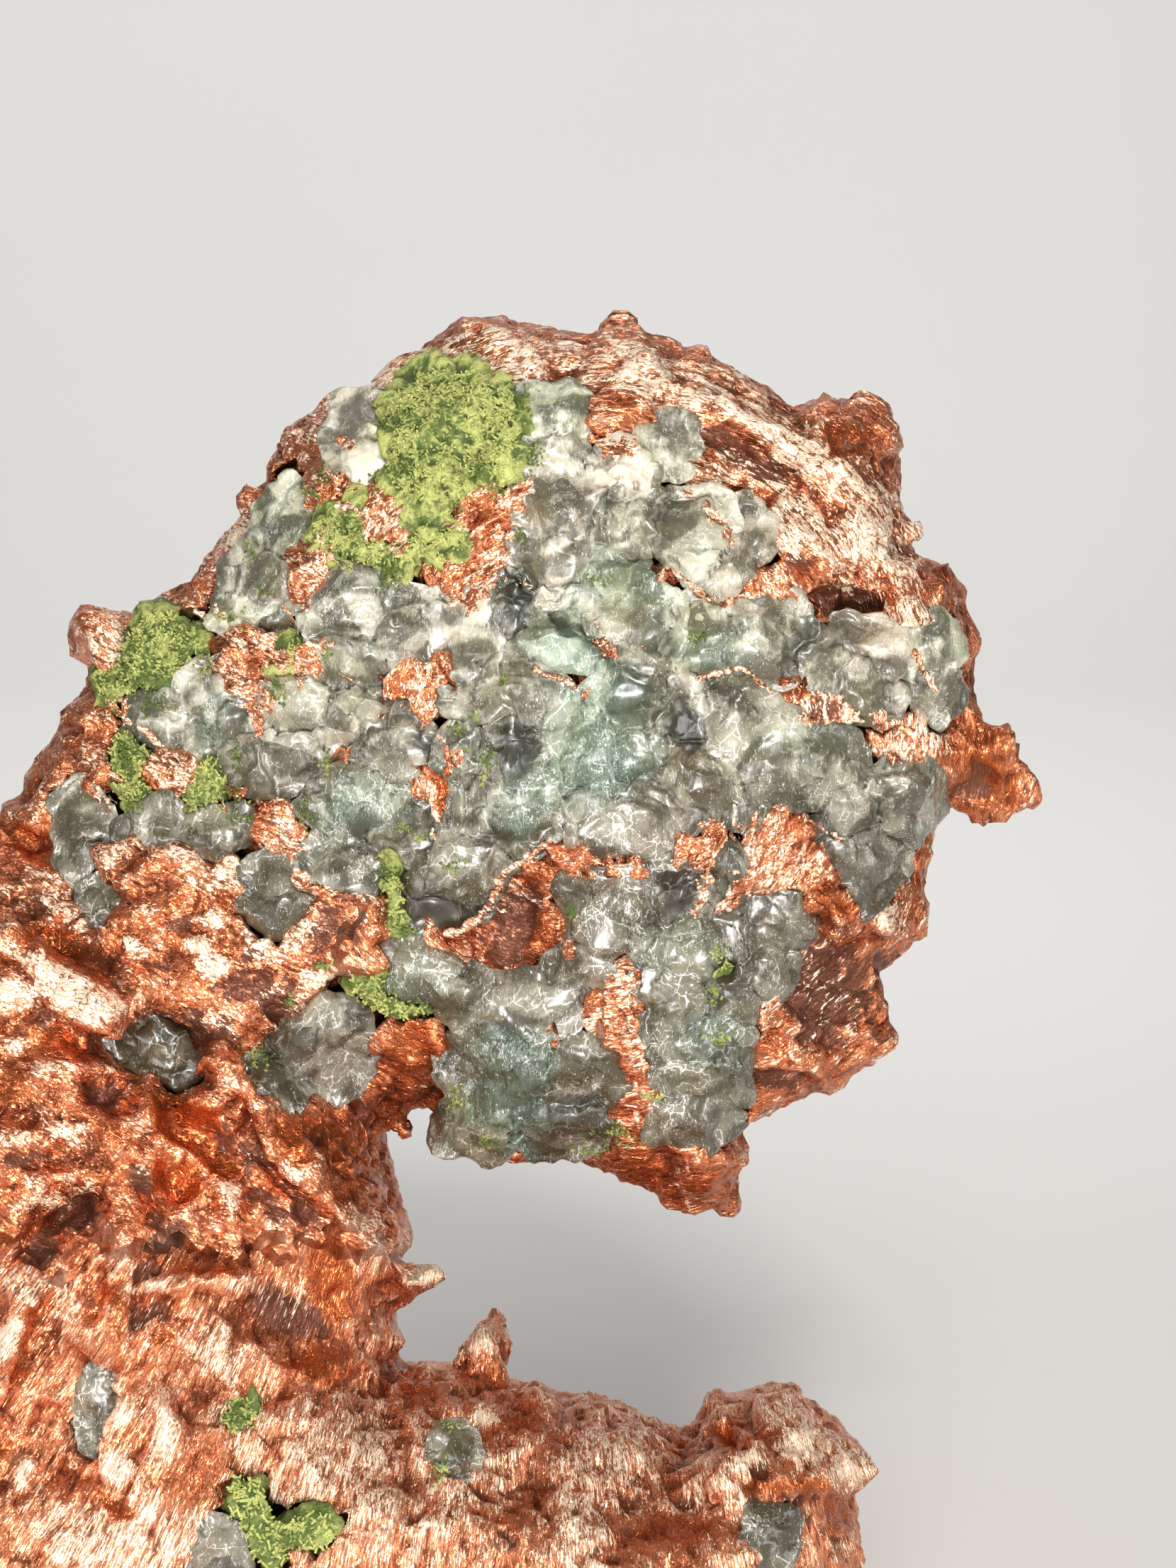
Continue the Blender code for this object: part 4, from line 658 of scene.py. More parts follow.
def copper_material():
    """Bare copper: cream flakes of painted highlight over salmon and orange metal, brown cracks and stains, and
    painted shade that darkens the hollows and furrows.
    """
    material, start, shader = start_material("bare_copper")
    dark, orange, pale, hollow, foot = start.kept("dark", "orange", "pale", "hollow", "foot_share")
    run = start.kept_vector("run").pushed(1.6, 0.5)
    place = start.place()
    broad = place.stretched(1.3).grain(4.0, 0.6)
    fine = place.stretched(0.14).grain(3.0, 0.65)
    long_flakes = run.stretched(0.42, 0.13, 0.24)
    long_height, long_pick = long_flakes.flakes()
    short_height, short_pick = run.stretched(0.17, 0.06, 0.11).flakes()
    plate_height, plate_pick = run.stretched(1.5, 0.42, 0.6).flakes()
    grit_height, _ = place.stretched(0.3).flakes()
    streaks = run.stretched(0.4, 0.07, 0.2).grain(3.0, 0.65, 0.5)
    furrows = run.stretched(1.9, 0.2, 0.5).grain(4.0, 0.6, 0.6)
    crack = 1 - long_flakes.cells("DISTANCE_TO_EDGE").step(0.02, 0.11)

    mottle = place.stretched(0.3).grain(4.0, 0.7)
    low = mottle + (streaks - mottle) * foot
    # Brown stain in the darker places, and also deeper in hollows, where it is painted shade
    stain = (dark * 1.1 + (broad - 0.5) * 0.7 + (hollow - 0.5) * 0.5 - (low - 0.5) * 1.3).step(0.48, 0.78)
    # How much is covered by cream flecks of painted highlight: more in the pale places, less in hollows
    cover = 0.14 + pale * 0.4 + (broad - 0.5) * (0.5 - foot * 0.2) + (plate_pick - 0.5) * 0.18
    cover = cover + foot * 0.05 - orange * 0.26 + stain * 0.07 - (hollow - 0.5) * 0.3
    # Dark furrow lines: painted shade in small creases, a little stronger in hollows
    furrow_shade = (0.5 - furrows + hollow * 0.08 + stain * 0.1 + pale * 0.03 - foot * 0.03).step(0.09, 0.15)
    furrow_shade = furrow_shade * (1 - pale * 0.65)
    cover = cover - furrow_shade * 0.42
    rest = (1 - streaks) * 0.45
    # Cream flecks: painted highlight on the bright flakes of the metal
    long_highlight = (cover - long_pick * 0.55 - rest).step(0.0, 0.06) * (1 - crack * 0.85)
    short_highlight = (cover - short_pick * 0.6 - rest + stain * 0.1 + 0.02).step(0.0, 0.05)
    highlight_fleck = long_highlight.most(short_highlight * 0.9)

    # Lighter salmon: random tone, raised in the pale places as painted highlight and lowered in hollows as painted
    # shade
    salmon_tone_and_light = (broad * 1.1 + pale * 0.5 + long_pick * 0.3 + foot * 0.3 - hollow * 0.4 - 0.25).step(0.1, 0.9)
    colour = start.plain(BRICK).mixed(salmon_tone_and_light, SALMON)
    colour = colour.mixed((0.52 - low).step(0.0, 0.14) * (0.6 - foot * 0.15), RUST)
    colour = colour.mixed(orange * 0.85, ORANGE)
    colour = colour.mixed(stain * 0.85, STAIN_AND_SHADE)
    # Painted shade: the metal darker in the hollows
    hollow_shade = (hollow + (0.5 - streaks) * 0.6 - foot * 0.06).step(0.6, 0.95) * (0.72 - orange * 0.5)
    colour = colour.mixed(hollow_shade.most(furrow_shade * (0.85 - orange * 0.6)), FURROW_SHADE)
    colour = colour.mixed(crack * pale * 0.35, CRACK)
    colour = colour.mixed(highlight_fleck * 0.95, CREAM_HIGHLIGHT)
    join(colour, shader, "Base Color")
    join(0.9 - stain * 0.3 - highlight_fleck * 0.38, shader, "Metallic")
    join(0.2 + fine * 0.15 + stain * 0.1 - orange * 0.02, shader, "Roughness")

    height = plate_height * 0.19 + long_height * 0.06 + short_height * 0.02 + grit_height * 0.045 + fine * 0.008
    height = (height + highlight_fleck * 0.02 - crack * 0.015) * (1 - orange * 0.4)
    emboss(height, shader, 1.0)
    return material


def keep_copper_values(mesh, least_highlight=0.0):
    """Keeps on a copper mesh what its material reads."""
    face = on_face(points_of(mesh))
    places = seen(face)
    front = ramp(facing_of(normals_of(mesh))[:, 2], -0.3, 0.1)
    knob, foot, left = copper_runs(face)
    border = 1.4 * waves(places / 1.5, 3, 101)
    run = np.where((places[:, 0] + border < -8.5)[:, None], left * SCALE_STRETCH, knob)
    run = np.where((places[:, 1] + border < -16.5)[:, None], foot * FIBRE_STRETCH, run)
    torn = frayed(places)
    sheet = ramp(depth_in(torn, SHEETS), -0.08, 0.08) * front
    shell = ramp(depth_in(torn, SHELLS), -0.1, 0.1) * front
    keep(mesh, "dark", patches(torn, DARK_PLACES) * front * (1 - sheet))
    keep(mesh, "orange", np.maximum(patches(torn, ORANGE_PLACES) * front * (1 - sheet), shell))
    # The pale share is painted highlight, the proud sheets among it
    pale = np.maximum(patches(torn, HIGHLIGHT_PLACES) * front * (1 - shell), sheet * 1.1)
    keep(mesh, "pale", np.maximum(pale, least_highlight))
    keep(mesh, "foot_share", ramp(places[:, 1], -14.0, -18.0))
    keep(mesh, "run", run)
    keep(mesh, "hollow", hollowness(mesh, 8, 0.3))


def nearest_grain(points):
    """The way to the nearest grain in the front of the copper, and how far it is, up to a reach."""
    grains = bmesh.new()
    for node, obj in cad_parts.items():
        if node != "copper_mass" and "_back_" not in node:
            grains.from_mesh(obj.data)
    tree = BVHTree.FromBMesh(grains)
    grains.free()
    towards = np.zeros((len(points), 3))
    gap = np.full(len(points), GRAIN_REACH)
    for index, point in enumerate((points * MM).tolist()):
        place, _, _, distance = tree.find_nearest(point, GRAIN_REACH * MM)
        if place is not None:
            towards[index] = place - Vector(point)
            gap[index] = distance / MM
    return towards / MM, gap


shape = welded("copper_mass")
for x, h, depth, radius in BEADS:
    middle = off_face(np.array([[x, h, depth]]))[0] * MM
    bmesh.ops.create_icosphere(shape, subdivisions=2, radius=radius * MM, matrix=Matrix.Translation(middle))
copper = skinned(shape, COPPER_VOXEL, "hackly_copper")
points, normals = evened(copper.data, COPPER_ROUNDS)
seat = points[:, 2] < SEAT_HEIGHT
face = on_face(points)
facing = facing_of(normals)
shift = wobble(face)
places = seen(face) + shift[:, :2]
knob_run, foot_run, _ = copper_runs(face)

front = ramp(facing[:, 2], -0.4, 0.1)
torn = frayed(places)
sheet = depth_in(torn, SHEETS)
shell = depth_in(torn, SHELLS)
smooth = front * ramp(shell, -0.1, 0.2)
foot_share = ramp(places[:, 1], -13.0, -18.0)
hackly = ramp(places[:, 0], -7.0, -11.0) * (1 - foot_share)
foil = (1 - foot_share) * (1 - hackly)

# Relief, each line with its height and the sizes of its waves, creases or facets
crumple = creases(points / 1.2, 3, 7)
lift = 0.16 * waves(points / 2.4, 2)
lift += front * foil * 0.18 * creases(knob_run / (1.9, 0.5, 0.8), 3)
lift += front * foil * 0.14 * facets(knob_run / (1.3, 0.45, 0.8), 31)
lift += front * foot_share * 0.2 * creases(foot_run / (4.2, 0.7, 0.9), 3, 11)
lift += front * foot_share * 0.08 * facets(foot_run / (2.4, 0.45, 0.9), 32)
lift += (front * hackly * 0.14 + (1 - front) * 0.2 + front * 0.05) * crumple
lift += front * hackly * 0.17 * facets(points / 0.9, 33) + (1 - front) * 0.4 * facets(points / 1.9, 35)
lift += (0.04 + 0.1 * front) * facets(points / 0.45, 34) - 0.1
lift *= 1 - 0.5 * smooth
lift += front * FOLD_HEIGHT * folded(torn, FOLDS)
lips = LIP_RISE * np.exp(-((shell / LIP_WIDTH) ** 2))
lift += front * (SHEET_RISE * ramp(sheet, -0.1, 0.12) + lips - SHELL_DIP * ramp(shell, 0.0, 0.6))
points += normals * lift[:, None]

# Teeth on the rim, and the copper closed up to the grains
rim = ramp(1 - np.abs(facing[:, 2]), 0.25, 0.8)
outward = facing[:, :2] / np.maximum(np.linalg.norm(facing[:, :2], axis=1), 1e-6)[:, None]
push = np.zeros(len(points))
for x, h, reach, width in RIM_TEETH:
    push += reach * np.exp(-((places[:, 0] - x) ** 2 + (places[:, 1] - h) ** 2) / width**2)
face = on_face(points)
face[:, :2] += outward * (push * rim * ramp(face[:, 2], -4.0, -1.5))[:, None]
towards, gap = nearest_grain(points)
towards = towards @ FACE_AXES.T
towards /= np.maximum(np.linalg.norm(towards[:, :2], axis=1), 0.05)[:, None]
close = 1 - ramp(gap, 0.5, 1.0)
ragged = ramp(facets(np.column_stack([places, 0.3 * face[:, 2]]) / 0.8, 51), -0.05, 0.6)
close *= 1 - patches(places, OPEN_POCKETS)
face[:, :2] += towards[:, :2] * (close * CREEP * ragged)[:, None]
face[:, 2] += front * close * CREEP_RISE * facets(points / 0.6, 52)
face += shift
points = off_face(face)
points[:, 2] = np.where(seat, 0, np.maximum(points[:, 2], 0))
put_points(copper.data, points)
copper = thinned(copper, COPPER_TRIANGLES)
keep_copper_values(copper.data)
bare_copper = copper_material()
copper.data.materials.append(bare_copper)
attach(copper, "root")
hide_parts("copper_mass")

# Quartz: glassy to milky grains, grown tightly together and set in the copper as they crystallised.
# Each grain is a low dome cut by a few flat or broken faces, with a sharp crease against the next one.

QUARTZ_VOXEL = 0.11
QUARTZ_ROUNDS = 2
BED_ROUNDS = 26

# How far the grains reach sideways over the gap, and how far their tops lie below the solid's on average
QUARTZ_REACH = 0.36
QUARTZ_SINK = 0.4

# How far each grain swells in its middle, and the crease round it
GRAIN_SWELL = 0.2
CREASE_DEPTH = 0.16
CREASE_WIDTH = 0.2

# Tones of the grains, and colours in and on them: the pale specks, the edge lines and the glints are painted
# highlights, and the shade and dusk colours are painted shade
TONES = {
    "milky": (0.52, 0.48, 0.375), "grey": (0.34, 0.32, 0.225), "smoke": (0.21, 0.20, 0.13),
    "pink": (0.43, 0.35, 0.265), "green": (0.29, 0.31, 0.20), "mint": (0.27, 0.35, 0.25),
    "dark": (0.06, 0.062, 0.042), "teal": (0.07, 0.10, 0.065), "tan": (0.31, 0.275, 0.17),
    "blue": (0.33, 0.335, 0.25),
}
MILK, CLEAR_DARK, MOSS = (0.76, 0.73, 0.58), (0.08, 0.078, 0.046), (0.27, 0.25, 0.085)
SPECK_DARK, SPECK_GLINT, BROWN = (0.06, 0.055, 0.034), (0.90, 0.88, 0.78), (0.24, 0.15, 0.07)
SHADE, SEAM, EDGE_HIGHLIGHT, DIM_SHADE = (0.028, 0.032, 0.022), (0.06, 0.052, 0.034), (0.90, 0.89, 0.80), (0.046, 0.034, 0.014)
MINT, HAIR, GLINT = (0.22, 0.40, 0.295), (0.95, 0.95, 0.90), (0.97, 0.97, 0.93)

# Grains of each cluster: x, h, half width, half height, turn, tone
QUARTZ = {
    "quartz_crest": [
        (-1.1, 13.0, 1.2, 1.0, 0, "green"), (-1.2, 11.7, 1.1, 0.9, 0, "grey"), (-0.8, 9.8, 1.7, 1.5, 0, "pink"),
        (-1.3, 7.6, 1.5, 1.4, 0, "pink"), (1.2, 10.9, 1.2, 1.0, 20, "pink"), (1.3, 9.2, 1.5, 1.3, 0, "grey"),
        (0.7, 7.4, 1.2, 1.1, 0, "green"), (3.9, 8.8, 1.5, 1.5, -30, "grey"), (5.0, 7.6, 1.1, 0.8, -10, "pink"),
        (-0.3, 6.7, 0.9, 0.8, 0, "milky"),
    ],
    "quartz_bead": [(2.8, 12.0, 0.9, 0.95, 0, "grey")],
    "quartz_drop": [(5.7, 8.9, 0.65, 1.15, 0, "pink")],
    "quartz_brow": [
        (1.6, 6.1, 1.5, 1.1, -20, "green"), (3.9, 5.4, 1.4, 1.3, 0, "green"), (6.3, 5.2, 1.7, 1.6, -20, "grey"),
        (8.4, 4.2, 1.3, 1.0, -20, "grey"), (9.9, 4.9, 1.4, 0.95, -15, "pink"), (9.8, 3.3, 1.3, 0.9, -30, "pink"),
    ],
    "quartz_temple": [(12.1, 4.8, 0.85, 1.0, 0, "green"), (12.3, 3.2, 0.65, 1.0, 0, "grey")],
    "quartz_heart": [
        (-8.2, 6.5, 1.7, 1.5, 0, "blue"), (-6.3, 5.5, 1.6, 1.4, 0, "milky"), (-4.2, 5.7, 1.4, 1.3, 0, "milky"),
        (-2.7, 6.4, 0.9, 1.2, 10, "dark"), (-8.6, 4.3, 1.5, 1.0, 0, "grey"), (-1.1, 5.3, 1.5, 1.1, -20, "mint"),
        (-3.1, 3.3, 2.0, 1.2, 0, "milky"), (-10.4, 2.9, 1.5, 1.1, 0, "grey"), (-8.3, 2.2, 1.3, 1.2, 0, "grey"),
        (-6.9, 1.3, 1.3, 1.2, 0, "grey"), (-2.6, 1.0, 1.2, 1.4, 0, "dark"), (-0.2, 1.5, 1.5, 1.7, 0, "mint"),
        (1.4, 3.1, 1.5, 1.3, 0, "smoke"), (1.7, 1.0, 1.1, 1.1, 0, "mint"), (3.3, 2.6, 1.1, 1.0, 0, "smoke"),
        (5.2, 2.4, 1.3, 1.4, 0, "smoke"), (3.7, 0.4, 1.6, 1.3, 0, "tan"), (1.5, -1.1, 2.2, 1.3, 0, "pink"),
        (-8.0, -0.8, 1.8, 1.3, 0, "green"), (-6.7, -1.3, 1.2, 1.4, 0, "green"), (-3.0, -1.1, 1.9, 1.4, 0, "smoke"),
        (-4.4, -3.1, 1.7, 1.4, 30, "grey"), (-8.4, -2.9, 1.5, 1.1, -20, "green"), (-5.5, -4.4, 1.2, 0.6, -15, "dark"),
        (-10.5, 0.9, 1.1, 1.2, 0, "milky"), (-12.0, 0.6, 1.1, 1.1, 0, "milky"), (-4.4, 0.9, 0.9, 1.1, 0, "green"),
        (-5.2, 3.6, 0.8, 0.7, 0, "grey"),
    ],
    "quartz_cheek": [
        (7.6, 0.8, 2.6, 1.6, -8, "grey"), (11.1, -0.5, 1.3, 1.4, 0, "green"), (9.8, -2.8, 1.3, 1.5, 0, "milky"),
        (9.2, -1.0, 1.4, 1.0, 0, "pink"),
    ],
    "quartz_chin": [
        (1.0, -4.3, 1.7, 1.5, 0, "pink"), (3.1, -3.7, 0.95, 1.2, 0, "smoke"), (3.5, -5.9, 1.7, 1.3, 0, "green"),
        (6.1, -4.9, 1.9, 1.3, 10, "pink"), (2.9, -7.8, 1.4, 1.6, 0, "green"), (4.9, -7.4, 0.9, 1.0, 0, "smoke"),
        (6.4, -6.5, 0.8, 0.8, 0, "grey"), (3.9, -9.6, 1.8, 1.5, 0, "green"), (3.5, -11.8, 1.8, 0.8, 0, "tan"),
        (1.9, -5.2, 0.8, 0.7, 0, "milky"),
    ],
    "quartz_lip": [
        (-5.9, -6.4, 1.7, 1.1, 0, "grey"), (-4.4, -7.4, 1.2, 0.9, 0, "green"), (-2.0, -7.8, 2.0, 1.0, 0, "milky"),
        (-0.4, -6.6, 1.1, 0.8, 0, "pink"),
    ],
    "quartz_toe": [
        (-3.2, -10.0, 1.9, 1.7, 0, "teal"), (0.1, -10.2, 1.3, 1.2, 0, "grey"), (-3.9, -12.1, 1.3, 1.1, 0, "green"),
        (-1.2, -12.1, 1.8, 0.9, 0, "teal"), (-4.6, -10.4, 1.0, 1.2, 0, "grey"),
    ],
    "quartz_pea": [(5.6, -0.95, 0.55, 0.5, 0, "dark")],
    "quartz_pip": [(5.0, -3.0, 0.55, 0.6, 0, "smoke")],
    "quartz_shoulder": [(-8.1, 12.3, 1.0, 1.5, -10, "milky")],
    "quartz_sliver": [
        (-10.8, 9.2, 0.75, 1.5, -10, "green"), (-11.6, 7.3, 1.1, 1.1, 30, "milky"),
        (-11.7, 6.0, 1.4, 0.9, 0, "green"),
    ],
    "quartz_flank": [
        (-13.5, 3.1, 1.1, 1.1, 0, "milky"), (-14.9, 2.2, 1.1, 0.9, -20, "blue"), (-14.1, 1.6, 1.1, 0.7, -30, "blue"),
        (-12.7, 2.2, 0.7, 1.2, -10, "smoke"),
    ],
    "quartz_heel": [(-17.9, -1.7, 0.9, 1.5, -5, "milky")],
    "quartz_shelf": [(-15.4, -1.4, 1.1, 0.9, 0, "blue"), (-13.3, -1.6, 1.2, 0.7, 0, "tan")],
    "quartz_shard": [(-11.0, -3.8, 1.1, 1.2, 10, "blue")],
    "quartz_pocket_left": [(-15.3, -9.5, 1.6, 1.0, -20, "smoke")],
    "quartz_pocket_right": [(-9.3, -9.4, 1.7, 1.5, 30, "milky"), (-11.0, -10.4, 1.2, 0.9, -30, "tan")],
    "quartz_peg": [(-17.3, -4.3, 0.55, 0.8, 10, "smoke")],
    "quartz_plate": [(-17.2, -22.0, 0.7, 1.5, -10, "grey")],
    "quartz_tooth": [(-13.0, -27.2, 1.0, 1.1, 0, "milky")],
    "quartz_bud": [(-4.6, -23.6, 0.65, 0.9, 5, "milky")],
    "quartz_pebble": [(6.4, -26.5, 0.8, 0.9, 0, "smoke")],
    "quartz_back_high": [
        (-1.5, 7.6, 2.0, 1.7, 0, "milky"), (1.4, 6.3, 1.8, 1.5, 20, "grey"), (-0.6, 4.6, 1.7, 1.5, 0, "green"),
        (2.6, 4.0, 1.3, 1.2, 0, "pink"),
    ],
    "quartz_back_side": [(-10.5, -5.2, 1.9, 1.4, 25, "grey"), (-12.6, -7.0, 1.4, 1.3, 0, "milky")],
    "quartz_back_low": [
        (-3.4, -25.4, 1.9, 1.5, 0, "grey"), (-5.6, -27.0, 1.6, 1.3, 0, "milky"), (-2.9, -28.0, 1.4, 1.2, 0, "smoke"),
    ],
    "quartz_back_bead": [(7.6, -2.2, 1.3, 1.2, 0, "grey")],
    "quartz_back_left": [(-21.5, -15.6, 1.6, 1.4, 0, "milky"), (-19.6, -17.2, 1.3, 1.3, 0, "grey")],
}

# Mint, brown and shaded places in the quartz: x, h, half width, half height, turn, strength
MINT_PLACES = [
    (0.0, 3.6, 1.9, 1.0, -20, 0.9), (0.4, 0.9, 1.5, 1.9, -10, 1.0), (-0.8, 4.6, 1.4, 0.9, 0, 0.7),
    (0.2, 7.2, 1.4, 0.8, 50, 0.6), (2.0, 6.9, 1.6, 0.9, -10, 0.5), (4.6, 4.8, 1.3, 0.7, 0, 0.5),
    (-8.4, -0.8, 1.1, 0.7, 30, 0.9), (-7.2, -0.6, 1.4, 0.8, 20, 0.4), (-1.7, -0.2, 1.7, 0.9, 30, 0.8),
    (-2.6, -9.6, 1.9, 1.0, -10, 0.8), (-3.0, -11.4, 1.7, 1.2, 0, 0.8), (-2.4, -13.0, 0.6, 0.4, 0, 1.0),
    (-2.4, -1.4, 0.5, 0.5, 0, 0.9), (4.3, -8.9, 1.1, 1.0, 0, 0.5), (3.1, -5.7, 1.6, 0.9, 0, 0.3),
    (-13.4, 2.0, 0.6, 1.4, -10, 0.4), (7.6, 1.6, 1.8, 0.8, 0, 0.25), (-6.2, -6.9, 1.2, 0.7, 0, 0.4),
]
STAIN_PLACES = [
    (1.5, 6.1, 0.6, 0.5, 0, 0.8), (3.9, 0.6, 1.1, 0.8, -20, 0.6), (4.4, 5.4, 0.6, 0.8, 0, 0.4),
    (4.4, -0.6, 1.0, 0.5, -30, 0.6), (-2.0, 1.7, 0.8, 0.5, 0, 0.3), (-6.9, 2.6, 0.6, 0.5, 0, 0.4),
    (-11.3, -0.2, 0.9, 0.5, 0, 0.4), (-0.4, 1.9, 0.5, 0.5, 0, 0.2), (2.8, -11.8, 1.4, 0.5, 0, 0.5),
]
SHADED_PLACES = [
    (1.6, 2.7, 1.0, 0.7, -20, 0.6), (3.3, 2.0, 0.8, 0.7, 10, 0.7), (-7.9, -1.5, 0.4, 0.4, 0, 0.8),
    (-2.6, -10.9, 1.3, 1.0, 10, 0.8), (-0.4, -11.9, 1.3, 0.6, 10, 0.6), (7.6, 5.0, 0.35, 1.3, -20, 0.7),
    (4.9, 2.8, 0.8, 0.8, 0, 0.4), (0.7, 4.5, 1.4, 0.3, -30, 0.6), (-8.6, 4.9, 1.0, 0.5, 0, 0.4),
    (4.8, -9.6, 0.8, 1.0, 0, 0.5), (-12.2, 3.0, 0.3, 1.1, -10, 0.8), (6.6, -2.3, 0.5, 0.4, 0, 0.7),
    (7.7, -1.4, 0.7, 0.6, 0, 0.6), (-6.6, 3.0, 0.9, 0.5, 0, 0.4), (-5.9, 1.5, 0.4, 0.4, 0, 0.6),
    (3.0, 9.6, 0.8, 0.6, 0, 0.4), (-3.3, -2.0, 0.8, 0.4, 10, 0.7), (-16.0, -8.6, 0.8, 0.5, -20, 0.9),
    (-16.4, -8.5, 1.0, 0.7, -30, 1.0), (-15.0, -8.6, 1.2, 0.5, -30, 0.8), (-14.2, -10.4, 1.1, 0.6, 20, 1.0),
    (-11.2, -10.6, 1.0, 0.5, -30, 0.7), (-10.6, -9.0, 1.0, 0.3, 30, 0.7),
]

# Clear faces of some grains, that one looks into, painted dark as shade: their outlines on the face, x and h
DARK_FACES = [
    [(-3.2, 1.2), (-3.0, 2.0), (-2.0, 2.3), (-1.8, 1.0), (-2.2, 0.4), (-2.7, -0.6)],
    [(-3.1, 6.9), (-2.6, 7.4), (-1.9, 6.9), (-2.2, 5.9), (-2.5, 4.9), (-2.8, 5.7)],
    [(-6.1, -3.5), (-5.6, -3.9), (-5.0, -4.2), (-4.1, -4.6), (-4.2, -5.0), (-5.1, -5.1), (-6.1, -4.6)],
    [(2.1, -2.9), (3.2, -2.9), (3.9, -3.1), (3.8, -4.3), (3.1, -4.9), (2.8, -3.9)],
    [(2.9, 2.9), (3.8, 2.6), (4.2, 1.7), (3.6, 1.0), (3.0, 1.6)], [(0.9, 3.6), (1.7, 3.9), (2.4, 3.4), (1.6, 2.9)],
    [(-1.6, 6.1), (-0.7, 5.8), (-0.2, 5.2), (-0.9, 5.2)], [(4.4, -6.4), (5.2, -6.2), (5.3, -7.4), (4.7, -8.0)],
]


def quartz_material():
    """Quartz: glassy faces in greys and olives, milky veils and hair cracks, each grain its own tone; sparks, pale
    specks and edge lines are painted highlights, and shaded places and lower parts get painted shade.
    """
    material, start, clear = start_material("grown_quartz")
    milky = material.node_tree.nodes.new("ShaderNodeBsdfPrincipled")
    tone = start.kept_vector("tone")
    mint, stain, shade, crease, dim_shade = start.kept("mint", "stain", "shaded", "crease", "dim_shade")
    place = start.place()
    bent = place.pushed(0.9, 0.3)
    face_height, face_pick = bent.stretched(1.5, 1.2, 1.5).flakes()
    chip_height, chip_pick = bent.stretched(0.5, 0.42, 0.5).flakes()
    veils = place.stretched(1.8, 1.6, 1.8).grain(4.0, 0.5, 1.0)
    sugar = place.stretched(1.6, 1.3, 1.6).grain(3.0, 0.55).step(0.52, 0.66)
    fibres = place.stretched(0.12, 0.3, 0.42).grain(6.0, 0.72, 1.6)
    sparks = place.stretched(0.07, 0.14, 0.16).grain(2.0, 0.5, 2.0)
    moss = place.stretched(2.1).grain(5.0, 0.65)
    fine = place.stretched(0.11).grain(3.0, 0.6)
    hairs = place.pushed(0.5, 0.5).stretched(0.8, 0.6, 0.8).cells("DISTANCE_TO_EDGE")
    hairs = (1 - hairs.step(0.004, 0.03)) * veils.step(0.48, 0.62)

    milk = (veils * 1.45 + fibres * 0.4 + face_pick * 0.26 + chip_pick * 0.05 - shade * 0.4 - 0.74).step(0.1, 0.72)
    colour = tone.mixed(milk * 0.55, MILK)
    colour = colour.mixed((0.55 - milk).step(0.0, 0.5) * 0.75, CLEAR_DARK)
    colour = colour.mixed(moss.step(0.48, 0.66) * (0.5 - milk * 0.3), MOSS)
    colour = colour.mixed((0.47 - fine).step(0.0, 0.16) * (0.03 + sugar * 0.2), SPECK_DARK)
    # Pale specks: painted glints on the sugary parts
    colour = colour.mixed((fine - 0.55).step(0.0, 0.12) * (0.03 + sugar * 0.25), SPECK_GLINT)
    colour = colour.mixed(stain * (0.6 - milk * 0.4), BROWN)
    colour = colour.mixed(shade * (1.0 - milk * 0.4), SHADE)
    colour = colour.mixed((crease * 1.3 - 0.5).step(0.35, 0.8) * 0.4, SEAM)
    # Light lines along the grain edges: painted highlight
    rim = crease.step(0.1, 0.3) * (1 - crease.step(0.45, 0.62)) * (fibres * 1.8 - 0.5)
    colour = colour.mixed(rim * 0.45, EDGE_HIGHLIGHT)
    # Painted shade, darker towards the bottom
    colour = colour.mixed(dim_shade, DIM_SHADE)
    threads = (fibres - 0.38).step(0.0, 0.25) * 0.5 + 0.25
    colour = colour.mixed(mint * (1 - dim_shade * 0.35) * threads, MINT)
    colour = colour.mixed(hairs * (0.6 - shade * 0.4), HAIR)
    # Sparks: painted glints
    glint = (sparks + (fibres - 0.5) * 0.5 + sugar * 0.06 + mint * 0.06 - shade * 0.1).step(0.65, 0.69)
    colour = colour.mixed(glint * 0.75, GLINT)
    height = face_height * 0.22 + chip_height * (0.035 + sugar * 0.1) + fibres * 0.012 + glint * 0.01
    glassy = {"IOR": 1.54, "Specular IOR Level": 0.6}
    clouded = {"Coat Weight": 0.6, "Coat Roughness": 0.12, "Subsurface Weight": 0.6,
               "Subsurface Radius": (1.0, 1.0, 1.0), "Subsurface Scale": 0.5 * MM}
    clear_roughness = 0.12 + fine * 0.14 + sugar * 0.1
    milky_roughness = 0.24 + fine * 0.2
    for shader, strength, roughness, finish in ((clear, 1.0, clear_roughness, {"Transmission Weight": 0.8}),
                                                (milky, 0.45, milky_roughness, clouded)):
        join(colour, shader, "Base Color")
        join(roughness, shader, "Roughness")
        emboss(height, shader, 1.0, strength)
        for socket, value in (glassy | finish).items():
            shader.inputs[socket].default_value = value
    blend = start.add("MixShader", None, {0: 0.45 + milk * 0.45})
    start.tree.links.new(clear.outputs[0], blend.socket.node.inputs[1])
    start.tree.links.new(milky.outputs[0], blend.socket.node.inputs[2])
    start.tree.links.new(blend.socket, start.tree.nodes["Material Output"].inputs["Surface"])
    return material


